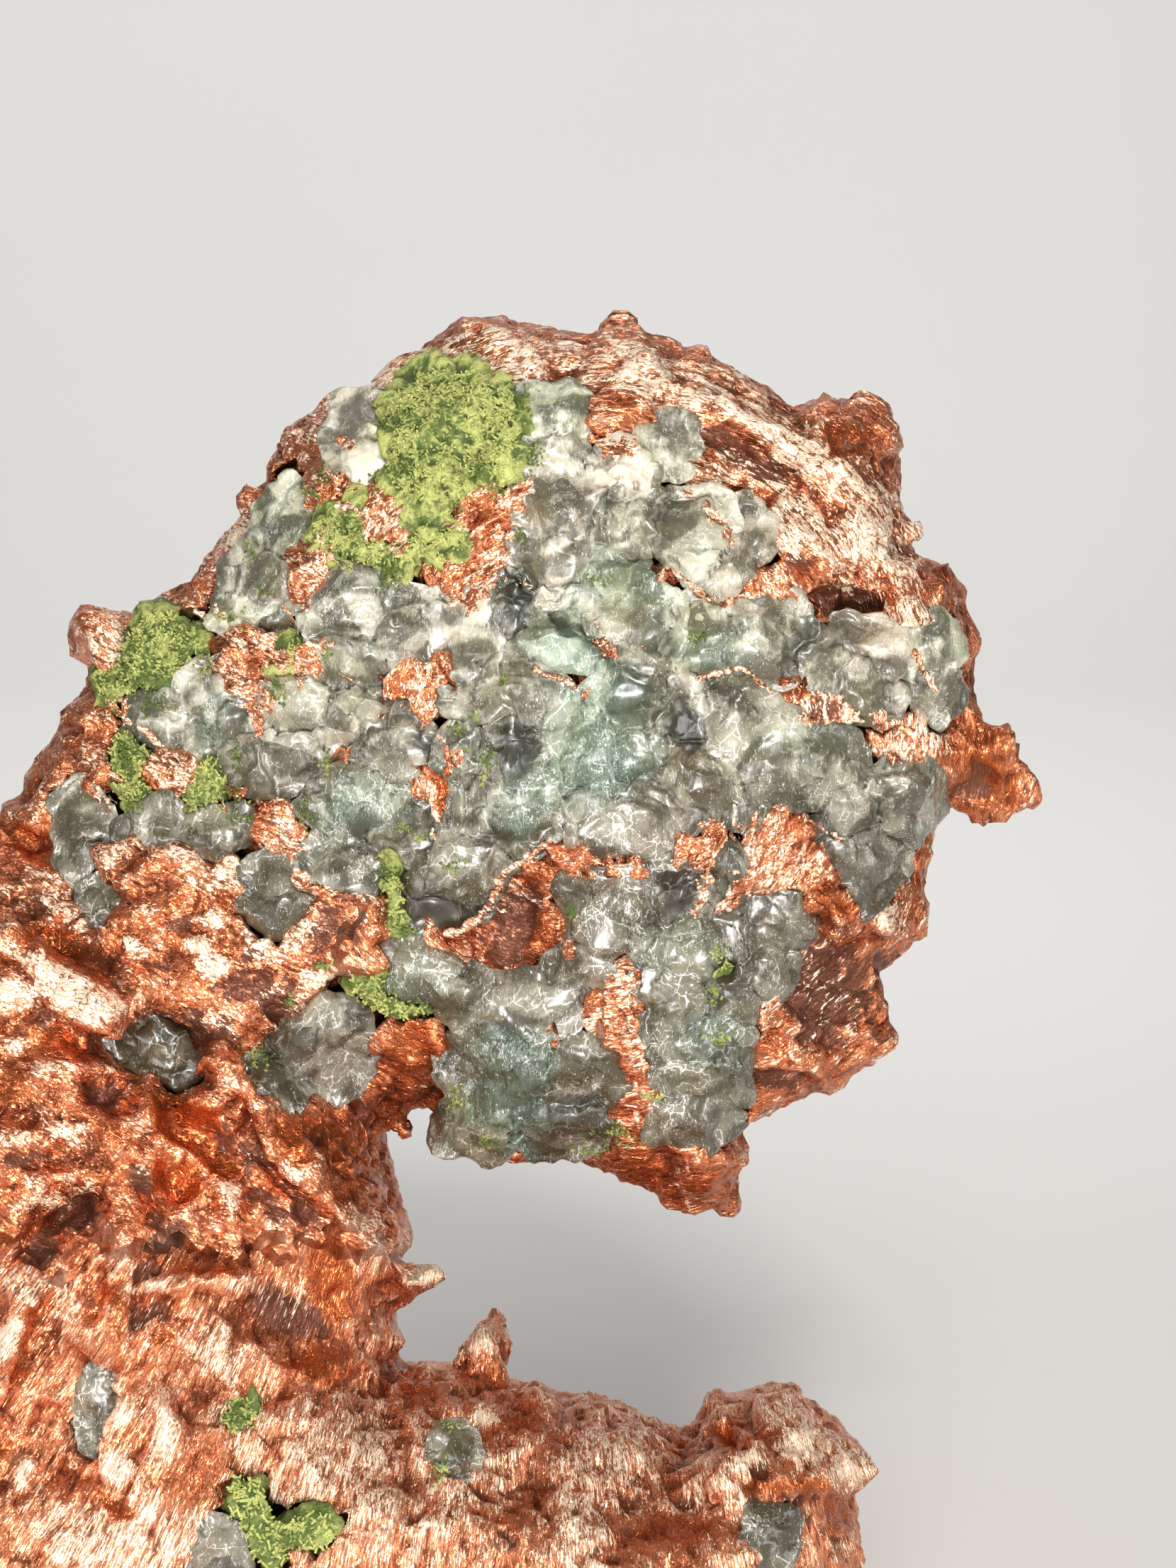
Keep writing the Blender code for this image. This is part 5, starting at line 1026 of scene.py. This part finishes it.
def grain_tops(places, grains, rng):
    """Height of the grown-together grains over their bed, the grain at each place, and how near its edge."""
    best = np.full(len(places), 99.0)
    second = np.full(len(places), 99.0)
    owner = np.zeros(len(places), int)
    top = np.zeros(len(places))
    size = np.ones(len(places))
    for index, (x, h, width, height, turn, _) in enumerate(grains):
        right, up = places[:, 0] - x, places[:, 1] - h
        along, across = turned(right, up, math.radians(turn))
        away = np.hypot(along / width, across / height)
        way = rng.uniform(0, math.tau)
        slope = rng.uniform(0.12, 0.5)
        own = rng.uniform(-0.12, 0.16) + slope * turned(right, up, way)[0]
        nearest = away < best
        second = np.where(nearest, best, np.minimum(second, away))
        best = np.where(nearest, away, best)
        owner = np.where(nearest, index, owner)
        top = np.where(nearest, own, top)
        size = np.where(nearest, min(width, height), size)
    edge = np.exp(-np.minimum(second - best, 9) * size / CREASE_WIDTH)
    swell = GRAIN_SWELL * size * (0.6 - np.minimum(best, 1.4) ** 2)
    return top + swell - CREASE_DEPTH * edge, owner, edge


quartz = quartz_material()
rng = random.Random(4)
quartz_pieces = []
for node, grains in QUARTZ.items():
    side = -1 if "_back_" in node else 1
    piece = skinned(welded(node), QUARTZ_VOXEL, node.replace("quartz_", "") + "_quartz")
    mesh = piece.data
    points, normals = evened(mesh, QUARTZ_ROUNDS)
    face = on_face(points)
    facing = facing_of(normals)
    outer = ramp(side * facing[:, 2], 0.25, 0.6)
    bed = eased(face[:, 2], edges_of(mesh), BED_ROUNDS, outer + 1e-4)
    sideways = facing[:, :2] * (1 - outer)[:, None]
    face[:, :2] += sideways * QUARTZ_REACH
    places = seen(face) if side > 0 else face[:, :2]
    tops, owner, crease = grain_tops(frayed(places, 0.2), grains, rng)
    own = places + 3.7 * owner[:, None]
    rough = 0.6 * facets(own / (2.4, 2.0), 41, 0.36) + 0.08 * facets(own / (0.8, 0.7), 42, 0.4)
    raised = bed + side * (np.maximum(tops, -0.3) - QUARTZ_SINK + rough)
    face[:, 2] = outer * raised + (1 - outer) * face[:, 2]
    face += wobble(face)
    put_points(mesh, off_face(face))
    tones = np.array([TONES[grain[5]] for grain in grains])
    own_share = dice(np.column_stack([owner, owner]), 77 + len(quartz_pieces))[:, :1]
    keep(mesh, "tone", tones[owner] * (0.66 + 0.74 * own_share))
    keep(mesh, "crease", crease * outer)
    front = float(side > 0)
    # Painted shade: the front grains darker towards the bottom, the back ones evenly
    keep(mesh, "dim_shade", 0.37 + front * (0.35 - 0.64 * ramp(places[:, 1], -6.0, 9.0)))
    keep(mesh, "mint", front * patches(places, MINT_PLACES))
    keep(mesh, "stain", front * patches(places, STAIN_PLACES))
    shade = np.maximum(patches(places, SHADED_PLACES), ramp(depth_in(frayed(places, 0.06), DARK_FACES), -0.06, 0.06))
    keep(mesh, "shaded", front * shade)
    mesh.shade_smooth()
    mesh.materials.append(quartz)
    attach(piece, "root")
    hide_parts(node)
    quartz_pieces.append(piece)

# Epidote: patches of fine yellow-green grains, sugary and soft to the eye, grown on and in the quartz.
# Each patch is a lumpy bed with hundreds of short prisms that stand out of it every way.

EPIDOTE_VOXEL = 0.12
EPIDOTE_ROUNDS = 6
# The gap colour is painted shade in the gaps and hollows between the grains
BOTTLE_GREEN, YELLOW_GREEN, GAP_SHADE_GREEN = (0.07, 0.105, 0.014), (0.40, 0.425, 0.125), (0.04, 0.062, 0.012)

# Prisms: how long and how wide one is, what share of the points bears one, and how far they lean
PRISM_LENGTH = 0.26
PRISM_WIDTH = 0.06
PRISM_SHARE = 0.35
PRISM_LEAN = 0.7
EPIDOTE = [
    "epidote_crown", "epidote_band", "epidote_flank", "epidote_sprig", "epidote_streak", "epidote_stud",
    "epidote_vein", "epidote_pocket", "epidote_tuft", "epidote_foot", "epidote_knee", "epidote_back_high",
    "epidote_back_low",
]


def epidote_material():
    """Epidote: yellow-green grains over bottle green, darker in the gaps and hollows between them and in the lower and
    left patches as painted shade.
    """
    material, start, shader = start_material("epidote_grains")
    hollow, dim_shade = start.kept("hollow", "dim_shade")
    place = start.place()
    broad = place.stretched(1.1).grain(3.0, 0.6)
    fine = place.stretched(0.14).grain(3.0, 0.65)
    # Yellow-green share: random grain tone, lowered in hollows and in lower parts as painted shade
    yellow_tone_and_shade = (broad * 3.6 + fine * 1.6 - hollow * 1.1 - dim_shade * 0.5).step(1.6, 2.75) * (1 - dim_shade * 0.5)
    colour = start.plain(BOTTLE_GREEN).mixed(yellow_tone_and_shade, YELLOW_GREEN)
    # Gap colour: painted shade in the hollows between grains, mixed with random grains
    colour = colour.mixed((hollow * 0.8 + fine * 0.7).step(0.78, 1.15) * 0.75, GAP_SHADE_GREEN)
    join(colour, shader, "Base Color")
    join(0.38 + fine * 0.3, shader, "Roughness")
    emboss(fine, shader, 0.12)
    return material


def gather(whole, items, add_one, at_a_time):
    """Adds a small shape for each item to a bmesh, some at a time, because a large bmesh is slow to add to."""
    handful = bpy.data.meshes.new("handful")
    for start in range(0, len(items), at_a_time):
        bm = bmesh.new()
        for item in items[start:start + at_a_time]:
            add_one(bm, *item)
        bm.to_mesh(handful)
        bm.free()
        whole.from_mesh(handful)
    bpy.data.meshes.remove(handful)


def sow_prisms(mesh, spots, rng, length, width):
    """Adds a short five-sided prism at each spot, leaning some way off the surface."""
    def add_prism(bm, spot, normal):
        lean = Vector([rng.gauss(0, PRISM_LEAN) for _ in range(3)])
        turn = (Vector(normal) + lean).to_track_quat("Z", "Y").to_matrix().to_4x4()
        long = length * rng.uniform(0.6, 1.4) * MM
        wide = width * rng.uniform(0.7, 1.3) * MM
        bmesh.ops.create_cone(bm, cap_ends=True, segments=5, radius1=wide, radius2=wide * 0.55, depth=long,
                              matrix=Matrix.Translation(Vector(spot) * MM) @ turn)

    whole = bmesh.new()
    whole.from_mesh(mesh)
    gather(whole, spots, add_prism, at_a_time=40)
    whole.to_mesh(mesh)
    whole.free()


epidote = epidote_material()
epidote_pieces = []
for node in EPIDOTE:
    side = -1 if "_back_" in node else 1
    piece = skinned(welded(node), EPIDOTE_VOXEL, node.replace("epidote_", "") + "_epidote")
    mesh = piece.data
    points, normals = evened(mesh, EPIDOTE_ROUNDS)
    face = on_face(points)
    facing = facing_of(normals)
    outer = ramp(side * facing[:, 2], 0.1, 0.6)
    # Painted shade on the lower and left patches; the same share keeps their edges from spreading so far
    dim_shade = (ramp(face[:, 1], -1.0, -8.0) + 0.6 * ramp(face[:, 0], -9.5, -13.0)) * float(side > 0)
    ragged = QUARTZ_REACH * (1 + 1.5 * waves(points / 0.9, 3, 71) - 1.2 * dim_shade)
    face[:, :2] += facing[:, :2] * ((1 - outer) * ragged)[:, None]
    places = np.column_stack([face[:, :2], np.zeros(len(face))])
    lump = 0.26 * creases(places / 1.3, 3, 5) + 0.14 * creases(points / 0.4, 2, 8)
    face[:, 2] += side * outer * lump
    face += wobble(face)
    points = off_face(face)
    put_points(mesh, points)
    normals = normals_of(mesh)
    keep(mesh, "hollow", hollowness(mesh, 5, 0.12))
    keep(mesh, "dim_shade", dim_shade)
    chosen = [index for index in np.flatnonzero(outer > 0.6) if rng.random() < PRISM_SHARE]
    sow_prisms(mesh, [(points[index], normals[index]) for index in chosen], rng, PRISM_LENGTH, PRISM_WIDTH)
    mesh.materials.append(epidote)
    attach(piece, "root")
    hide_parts(node)
    epidote_pieces.append(piece)

# Copper flakes and veins: thin ragged copper that filled the cracks between the grains, so it lies
# on them and in their creases. It is torn foil of the same metal as the mass, and is made of overlapping
# beads that share one skin.

VEIN_VOXEL = 0.085
FLAKE_SPACING = 0.15
FLAKE_JITTER = 0.08
VEIN_SPACING = 0.09
VEIN_JITTER = 0.04

# What share of a bead's radius is sunk, and how far back of its nearer part a flake or a vein may dip
BEAD_SINK = 0.35
VEIN_DIP = 0.4

# Flakes: the outline of each on the face, x and h
FLAKES = [
    [(-9.2, 11.0), (-8.6, 11.1), (-8.3, 10.6), (-8.1, 10.3), (-8.5, 10.1), (-8.3, 9.6), (-8.9, 9.4), (-9.0, 10.3)],
    [(-7.6, 9.9), (-7.0, 10.2), (-6.7, 9.6), (-6.4, 9.0), (-6.3, 8.4), (-6.8, 8.1), (-7.4, 8.4), (-8.0, 8.9)],
    [(-8.9, 8.5), (-9.5, 8.3), (-10.0, 8.0), (-10.3, 7.4), (-10.6, 6.8), (-10.3, 6.3), (-9.9, 6.1), (-9.2, 7.2)],
    [(-3.0, 10.3), (-2.4, 10.7), (-1.3, 11.3), (-1.6, 10.9), (-2.1, 10.3), (-2.7, 9.7), (-3.3, 9.4)],
    [(-3.7, 9.0), (-2.8, 9.2), (-2.6, 8.4), (-2.7, 7.8), (-3.1, 7.4), (-3.5, 6.8), (-3.9, 6.0), (-4.4, 6.2),
     (-5.1, 6.7), (-5.6, 7.3), (-4.8, 7.3), (-4.2, 7.3), (-3.7, 7.8), (-3.4, 8.4)],
    [(-13.2, 4.3), (-12.6, 4.6), (-12.5, 4.1), (-12.1, 3.5), (-12.6, 3.7), (-13.1, 3.8)],
    [(-11.9, 5.1), (-11.2, 5.2), (-10.9, 4.9), (-10.3, 4.8), (-9.6, 5.0), (-9.2, 5.5), (-9.1, 5.0), (-9.4, 4.4),
     (-9.3, 3.9), (-10.0, 3.4), (-10.4, 3.6), (-10.2, 4.0), (-10.8, 4.1), (-11.3, 4.0), (-11.6, 4.5)],
    [(-12.4, 3.4), (-11.9, 3.9), (-11.3, 3.9), (-11.0, 3.2), (-10.9, 2.6), (-11.4, 2.1), (-11.7, 1.5), (-12.0, 2.3)],
    [(-15.3, 1.0), (-14.9, 1.3), (-14.4, 0.9), (-13.9, 0.5), (-13.8, 0.1), (-14.3, -0.1), (-14.4, -0.6),
     (-15.3, 0.1)],
    [(-16.9, 3.2), (-16.2, 3.1), (-16.1, 2.5), (-16.4, 1.9), (-16.9, 1.6), (-17.0, 2.3)],
    [(-17.4, 0.1), (-16.9, -0.2), (-16.6, -0.9), (-16.9, -1.3), (-17.2, -0.8), (-17.5, -0.5)],
    [(-6.6, 3.4), (-6.2, 4.0), (-5.4, 3.95), (-5.0, 3.9), (-5.3, 3.3), (-6.0, 3.3)],
    [(-6.4, 2.9), (-5.9, 3.1), (-5.4, 2.9), (-5.3, 2.2), (-5.8, 2.5), (-6.2, 2.7)],
    [(-5.3, 1.7), (-4.7, 1.4), (-4.2, 1.2), (-4.3, 0.8), (-4.7, 0.5), (-4.9, -0.2), (-5.2, -1.2), (-5.4, -1.95),
     (-5.55, -1.2), (-5.6, -0.4), (-5.4, 0.1), (-5.1, 0.5), (-5.2, 1.1)],
    [(-11.6, -1.1), (-11.1, -0.9), (-10.6, -1.3), (-10.3, -1.7), (-10.0, -2.3), (-10.3, -2.8), (-10.8, -2.5),
     (-11.8, -2.1), (-11.3, -1.7)],
    [(-8.9, 12.4), (-8.2, 12.1), (-8.6, 11.6), (-8.9, 11.8)],
    [(-13.9, 6.1), (-13.2, 6.4), (-12.9, 6.0), (-13.4, 5.6)],
    [(4.0, -1.3), (4.8, -1.2), (4.9, -2.0), (4.5, -2.6), (4.4, -3.3), (4.1, -4.0), (3.9, -4.8), (3.6, -4.6),
     (3.9, -3.8), (4.1, -3.0), (3.9, -2.1)],
    [(4.8, -1.9), (5.4, -1.7), (5.9, -2.0), (6.5, -2.0), (6.6, -2.5), (6.4, -2.8), (6.0, -2.9), (5.6, -2.4)],
    [(5.2, -3.1), (6.2, -3.0), (7.4, -2.9), (7.9, -2.4), (8.4, -2.5), (8.6, -3.4), (7.9, -3.7), (6.6, -3.5),
     (5.9, -3.7), (5.3, -4.2), (4.7, -4.5), (4.9, -3.9)],
    [(1.1, -6.1), (1.5, -6.8), (1.9, -7.8), (1.6, -8.2), (1.8, -9.0), (2.0, -9.6), (2.1, -10.2), (1.6, -10.0),
     (1.1, -9.4), (0.9, -8.8), (0.3, -8.6), (-0.4, -8.5), (0.1, -8.0), (0.6, -7.2)],
    [(6.4, 3.1), (7.3, 2.9), (8.3, 3.4), (9.0, 2.9), (9.9, 2.2), (9.4, 2.1), (8.6, 2.1), (7.8, 2.1), (7.2, 2.6)],
    [(9.8, 2.4), (10.5, 2.6), (11.4, 2.2), (11.9, 1.3), (11.2, 0.8), (10.5, 0.7), (10.4, 1.4)],
    [(0.1, 12.2), (1.3, 12.2), (2.0, 12.1), (1.7, 11.6), (1.2, 11.3), (0.6, 11.5)],
    [(3.1, 10.5), (3.9, 10.2), (4.7, 9.6), (5.2, 8.9), (5.1, 8.3), (4.9, 8.6), (4.3, 9.4), (3.6, 10.0)],
]

# Veins: the line of each on the face, and its width
VEINS = [
    ([(-1.3, -2.0), (-1.6, -2.2), (-2.2, -2.6), (-2.9, -3.1), (-3.6, -4.5), (-4.4, -5.2), (-5.2, -5.3)], 0.3),
    ([(-1.2, -2.6), (-0.6, -2.75), (-0.2, -2.8)], 0.26),
    ([(-0.2, -2.8), (1.2, -2.85), (3.2, -2.85), (3.9, -2.6)], 0.13),
    ([(2.9, 7.5), (3.4, 7.3), (3.8, 6.9), (4.3, 6.6), (4.8, 6.3), (5.4, 6.6), (5.9, 6.7), (6.6, 6.9)], 0.3),
    ([(0.2, 6.0), (0.4, 5.5), (1.0, 4.8), (1.9, 4.9), (2.5, 4.6), (3.0, 4.1), (3.8, 3.7)], 0.12),
    ([(3.8, 3.7), (4.5, 3.9), (5.4, 4.1), (6.0, 3.6), (6.6, 3.1)], 0.22),
    ([(7.9, -3.8), (8.4, -4.1), (9.0, -5.0)], 0.4), ([(7.6, -1.2), (8.3, -1.6), (9.1, -2.0)], 0.16),
    ([(11.5, 4.6), (11.9, 3.9), (12.3, 3.3)], 0.26), ([(-16.3, 2.3), (-15.6, 1.9), (-15.0, 1.3)], 0.26),
    ([(-16.8, 0.3), (-16.0, -0.1)], 0.22), ([(-7.5, 2.3), (-6.9, 2.6), (-6.4, 3.0)], 0.16),
    ([(-8.8, 3.9), (-8.2, 3.6), (-7.9, 3.3)], 0.14), ([(-5.1, 9.2), (-4.6, 9.1), (-4.2, 9.0), (-3.6, 9.0)], 0.18),
    ([(-9.1, 9.2), (-9.6, 8.6), (-9.9, 8.2)], 0.16), ([(-10.7, 6.3), (-10.4, 5.8), (-10.8, 5.2)], 0.16),
    ([(-10.3, -3.1), (-10.0, -3.6), (-8.8, -3.9), (-7.6, -4.1)], 0.4), ([(1.5, -10.4), (1.8, -10.7)], 0.3),
    ([(-2.0, 7.0), (-2.6, 7.1), (-3.0, 7.3)], 0.14), ([(1.7, -11.6), (1.8, -12.2)], 0.3),
    ([(5.2, -0.8), (5.1, -1.4), (5.5, -1.7)], 0.16), ([(6.9, -1.2), (6.5, -1.6)], 0.2),
    ([(0.9, 4.9), (0.5, 4.4)], 0.1), ([(-1.9, 4.0), (-1.3, 3.8), (-0.8, 3.7), (-0.2, 3.3)], 0.24),
    ([(4.6, -4.5), (5.2, -3.7), (6.0, -3.1)], 0.26),
]


def spot_off_face(x, h, depth):
    """A place on the face, in millimetres, as a spot in the scene."""
    return Vector(off_face(np.array([x, h, depth]))) * MM


def spots_on(places, pieces):
    """The spot on the pieces that the eye sees at each x and h, the way out of it, the way to it and how far."""
    graph = bpy.context.evaluated_depsgraph_get()
    trees = [BVHTree.FromObject(piece, graph) for piece in pieces]
    eye = spot_off_face(0, 0, EYE_DISTANCE)
    spots = []
    for x, h in places:
        way = (spot_off_face(x, h, 0) - eye).normalized()
        hits = [tree.ray_cast(eye, way) for tree in trees]
        spot, normal, _, away = min((hit for hit in hits if hit[0]), key=lambda hit: hit[3])
        spots.append((spot, normal, way, away))
    return spots


def add_bead(bm, place, hit):
    """Adds a bead of copper, partly sunk where the eye sees its place, but not far behind its flake or vein."""
    radius, group = place[2:]
    spot, _, way, away = hit
    middle = spot + way * (radius * BEAD_SINK * MM - max(away - furthest[group], 0))
    bmesh.ops.create_icosphere(bm, subdivisions=1, radius=radius * MM, matrix=Matrix.Translation(middle))


front_pieces = [piece for piece in [copper] + quartz_pieces + epidote_pieces if "back" not in piece.name]
rng = random.Random(9)
placed = []
for group, outline in enumerate(FLAKES):
    sides = [np.arange(low - 0.2, high + 0.2, FLAKE_SPACING)
             for low, high in zip(np.min(outline, axis=0), np.max(outline, axis=0))]
    grid = np.stack(np.meshgrid(*sides), -1).reshape(-1, 2)
    for place in grid[depth_in(frayed(grid, 0.3), [outline]) > 0]:
        x, h = (at + rng.uniform(-FLAKE_JITTER, FLAKE_JITTER) for at in place)
        placed.append((x, h, rng.uniform(0.07, 0.14), group))
for group, (line, width) in enumerate(VEINS, len(FLAKES)):
    for (ax, ah), (bx, bh) in zip(line, line[1:]):
        count = max(2, int(math.hypot(bx - ax, bh - ah) / VEIN_SPACING))
        for step in range(count):
            x = ax + (bx - ax) * step / count + rng.gauss(0, VEIN_JITTER)
            h = ah + (bh - ah) * step / count + rng.gauss(0, VEIN_JITTER)
            placed.append((x, h, width * rng.uniform(0.35, 0.7), group))
spots = spots_on([place[:2] for place in placed], front_pieces)
group_of = np.array([group for _, _, _, group in placed])
away_of = np.array([away for _, _, _, away in spots])
furthest = [np.percentile(away_of[group_of == group], 30) + VEIN_DIP * MM for group in range(group_of.max() + 1)]
shape = bmesh.new()
gather(shape, list(zip(placed, spots)), add_bead, at_a_time=60)
veins = skinned(shape, VEIN_VOXEL, "copper_veins")
points = points_of(veins.data)
points += normals_of(veins.data) * (0.1 * facets(points / 0.35, 61) - 0.03)[:, None]
put_points(veins.data, points)
# The veins get at least this much painted highlight
keep_copper_values(veins.data, 0.6)
veins.data.materials.append(bare_copper)
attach(veins, "root")

# Epidote specks: loose grains of the same green mineral as the patches, scattered on the quartz and along
# the edges of the patches. Each is a short prism that lies half in what carries it.

SPECK_LENGTH = 0.16
SPECK_WIDTH = 0.055

# Where they lie: x, h, half width, half height
SPECKS = [
    (-7.3, 10.6, 0.6, 0.5), (-9.3, 10.9, 0.3, 0.4), (-8.5, 9.2, 0.6, 0.35), (-8.6, 7.8, 0.4, 0.5),
    (-7.0, 7.3, 0.5, 0.6), (-9.2, 4.6, 0.25, 0.4), (-11.0, 3.4, 0.45, 0.7), (-9.2, 0.8, 0.2, 0.5),
    (-10.0, -1.0, 0.25, 0.7), (-4.6, 1.9, 0.3, 0.3), (-3.6, 0.8, 0.6, 0.6), (-6.6, -1.5, 0.25, 0.18),
    (-5.9, -1.9, 0.25, 0.12), (-4.8, -2.9, 0.45, 0.35), (-7.2, -3.0, 0.3, 0.6), (-4.0, 2.4, 0.25, 0.18),
    (-3.0, 3.6, 0.2, 0.2), (-2.3, 8.7, 0.22, 0.22), (0.4, 7.2, 0.38, 0.2), (-11.4, 6.8, 0.3, 0.25),
    (-12.6, 5.9, 0.45, 0.3), (-16.2, 0.6, 0.5, 0.9), (-16.1, -0.7, 0.4, 0.7), (-16.8, 2.6, 0.35, 0.6),
    (-12.4, 1.0, 0.3, 0.6), (-13.0, -0.4, 0.9, 0.5), (-12.2, -1.2, 0.45, 0.2), (-11.9, 8.2, 0.3, 0.45),
    (-9.9, 10.3, 0.45, 0.25), (-2.0, 11.5, 0.5, 0.6), (-6.8, 12.6, 0.3, 0.9), (-2.3, 13.4, 0.5, 0.5),
    (-5.0, 9.7, 0.7, 0.35), (-15.3, 2.9, 0.7, 0.4), (-13.6, 4.4, 0.3, 0.8), (-16.3, 3.7, 0.5, 0.5),
    (-14.0, 5.6, 0.6, 0.4), (-0.6, -4.5, 0.2, 0.22), (4.6, -6.0, 0.35, 0.35), (4.4, -7.2, 0.3, 0.6),
    (4.6, -9.0, 0.35, 0.2), (-9.4, -6.4, 0.38, 0.2), (-10.5, -7.7, 0.3, 0.2), (-11.6, -9.6, 0.6, 0.5),
    (-6.0, -7.9, 0.6, 0.35), (-4.7, -11.2, 0.45, 0.6), (-3.6, -12.6, 0.6, 0.35), (1.0, -12.3, 0.9, 0.35),
    (0.2, -12.9, 0.7, 0.2), (2.3, -11.0, 0.45, 0.15), (-12.3, -22.2, 0.6, 0.5), (-4.9, -22.6, 0.45, 0.25),
    (-5.2, -24.2, 0.3, 0.6), (3.9, 5.2, 0.35, 0.25), (-6.4, -5.1, 0.3, 0.3), (-7.5, -7.3, 0.8, 0.4),
    (-3.3, 10.4, 0.4, 0.3),
]
rng = random.Random(12)
scattered = []
for x, h, width, height in SPECKS:
    for _ in range(int(14 + 100 * width * height)):
        scattered.append((x + rng.gauss(0, 0.5) * width, h + rng.gauss(0, 0.5) * height))
spots = spots_on(scattered, front_pieces)
mesh = bpy.data.meshes.new("epidote_specks")
sow_prisms(mesh, [(spot / MM, normal) for spot, normal, _, _ in spots], rng, SPECK_LENGTH, SPECK_WIDTH)
specks = in_scene("epidote_specks", mesh)
keep(mesh, "hollow", np.array([noise.noise(vert.co / (0.4 * MM)) * 0.5 + 0.4 for vert in mesh.vertices]))
# Every speck gets an even share of painted shade
keep(mesh, "dim_shade", np.full(len(mesh.vertices), 0.3))
mesh.materials.append(epidote)
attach(specks, "root")

# Stage: a pale plain floor of stiff board that runs up into a pale backdrop, far larger than the specimen,
# with five soft lights round it and a little light from everywhere.

FLOOR_REACH = 1.5
BACKDROP_START = 0.16
BACKDROP_BEND = 0.12
BACKDROP_HEIGHT = 1.0

stage_bm = bmesh.new()
bmesh.ops.create_grid(stage_bm, x_segments=1, y_segments=1, size=FLOOR_REACH)
far_edge = [edge for edge in stage_bm.edges if all(vert.co.y > 0 for vert in edge.verts)]
for vert in far_edge[0].verts:
    vert.co.y = BACKDROP_START
bmesh.ops.spin(stage_bm, geom=far_edge, cent=(0, BACKDROP_START, BACKDROP_BEND), axis=(1, 0, 0),
               angle=math.radians(90), steps=12)
top_edge = [edge for edge in stage_bm.edges if all(vert.co.z > BACKDROP_BEND * 0.99 for vert in edge.verts)]
raised_part = bmesh.ops.extrude_edge_only(stage_bm, edges=top_edge)["geom"]
bmesh.ops.translate(stage_bm, verts=[part for part in raised_part if isinstance(part, bmesh.types.BMVert)],
                    vec=(0, 0, BACKDROP_HEIGHT))
floor_mesh = bpy.data.meshes.new("floor")
stage_bm.to_mesh(floor_mesh)
stage_bm.free()
floor_mesh.shade_smooth()
floor = in_scene("floor", floor_mesh)
pale, _, shader = start_material("pale_floor")
shader.inputs["Base Color"].default_value = (0.56, 0.552, 0.54, 1.0)
shader.inputs["Roughness"].default_value = 0.8
floor_mesh.materials.append(pale)


def softbox(name, place, target, size, watts, colour):
    """A square studio light that faces a target; places and sizes in millimetres."""
    light = bpy.data.lights.new(name, "AREA")
    light.shape = "SQUARE"
    light.size = size * MM
    light.energy = watts
    light.color = colour
    obj = in_scene(name, light)
    obj.location = Vector(place) * MM
    obj.rotation_euler = (Vector(target) - Vector(place)).to_track_quat("-Z", "Y").to_euler()


softbox("key_light", (45, -110, 180), (6, 0, 36), 38, 0.29, (1.0, 0.98, 0.95))
softbox("left_light", (-130, -100, 60), (-4, 2, 22), 70, 0.13, (1.0, 0.98, 0.96))
softbox("low_light", (5, -150, 30), (9, 0, 7), 40, 0.26, (1.0, 0.98, 0.96))
softbox("right_light", (150, -50, 50), (10, 2, 34), 70, 0.08, (1.0, 0.99, 0.98))
softbox("backdrop_light", (0, 110, 160), (8, 200, 60), 120, 0.3, (1.0, 1.0, 1.0))
world = bpy.data.worlds.new("studio")
bpy.context.scene.world = world
world.use_nodes = True
background = world.node_tree.nodes["Background"]
background.inputs["Color"].default_value = (1.0, 0.985, 0.96, 1.0)
background.inputs["Strength"].default_value = 0.2
bpy.context.scene.view_settings.view_transform = "Standard"

# Camera: a close-up lens straight out from the middle of the leaning face, at the distance that the eye
# has above, with the photograph's upright frame.

FRAME_HEIGHT = 55.3
SENSOR = 36.0
camera_data = bpy.data.cameras.new("camera")
camera_data.sensor_fit = "VERTICAL"
camera_data.sensor_height = SENSOR
camera_data.lens = SENSOR * EYE_DISTANCE / FRAME_HEIGHT
camera_data.clip_start = 0.005
camera = in_scene("camera", camera_data)
camera.location = spot_off_face(0, 0, EYE_DISTANCE)
camera.rotation_euler = (math.radians(90) - LEAN, 0, 0)
bpy.context.scene.camera = camera
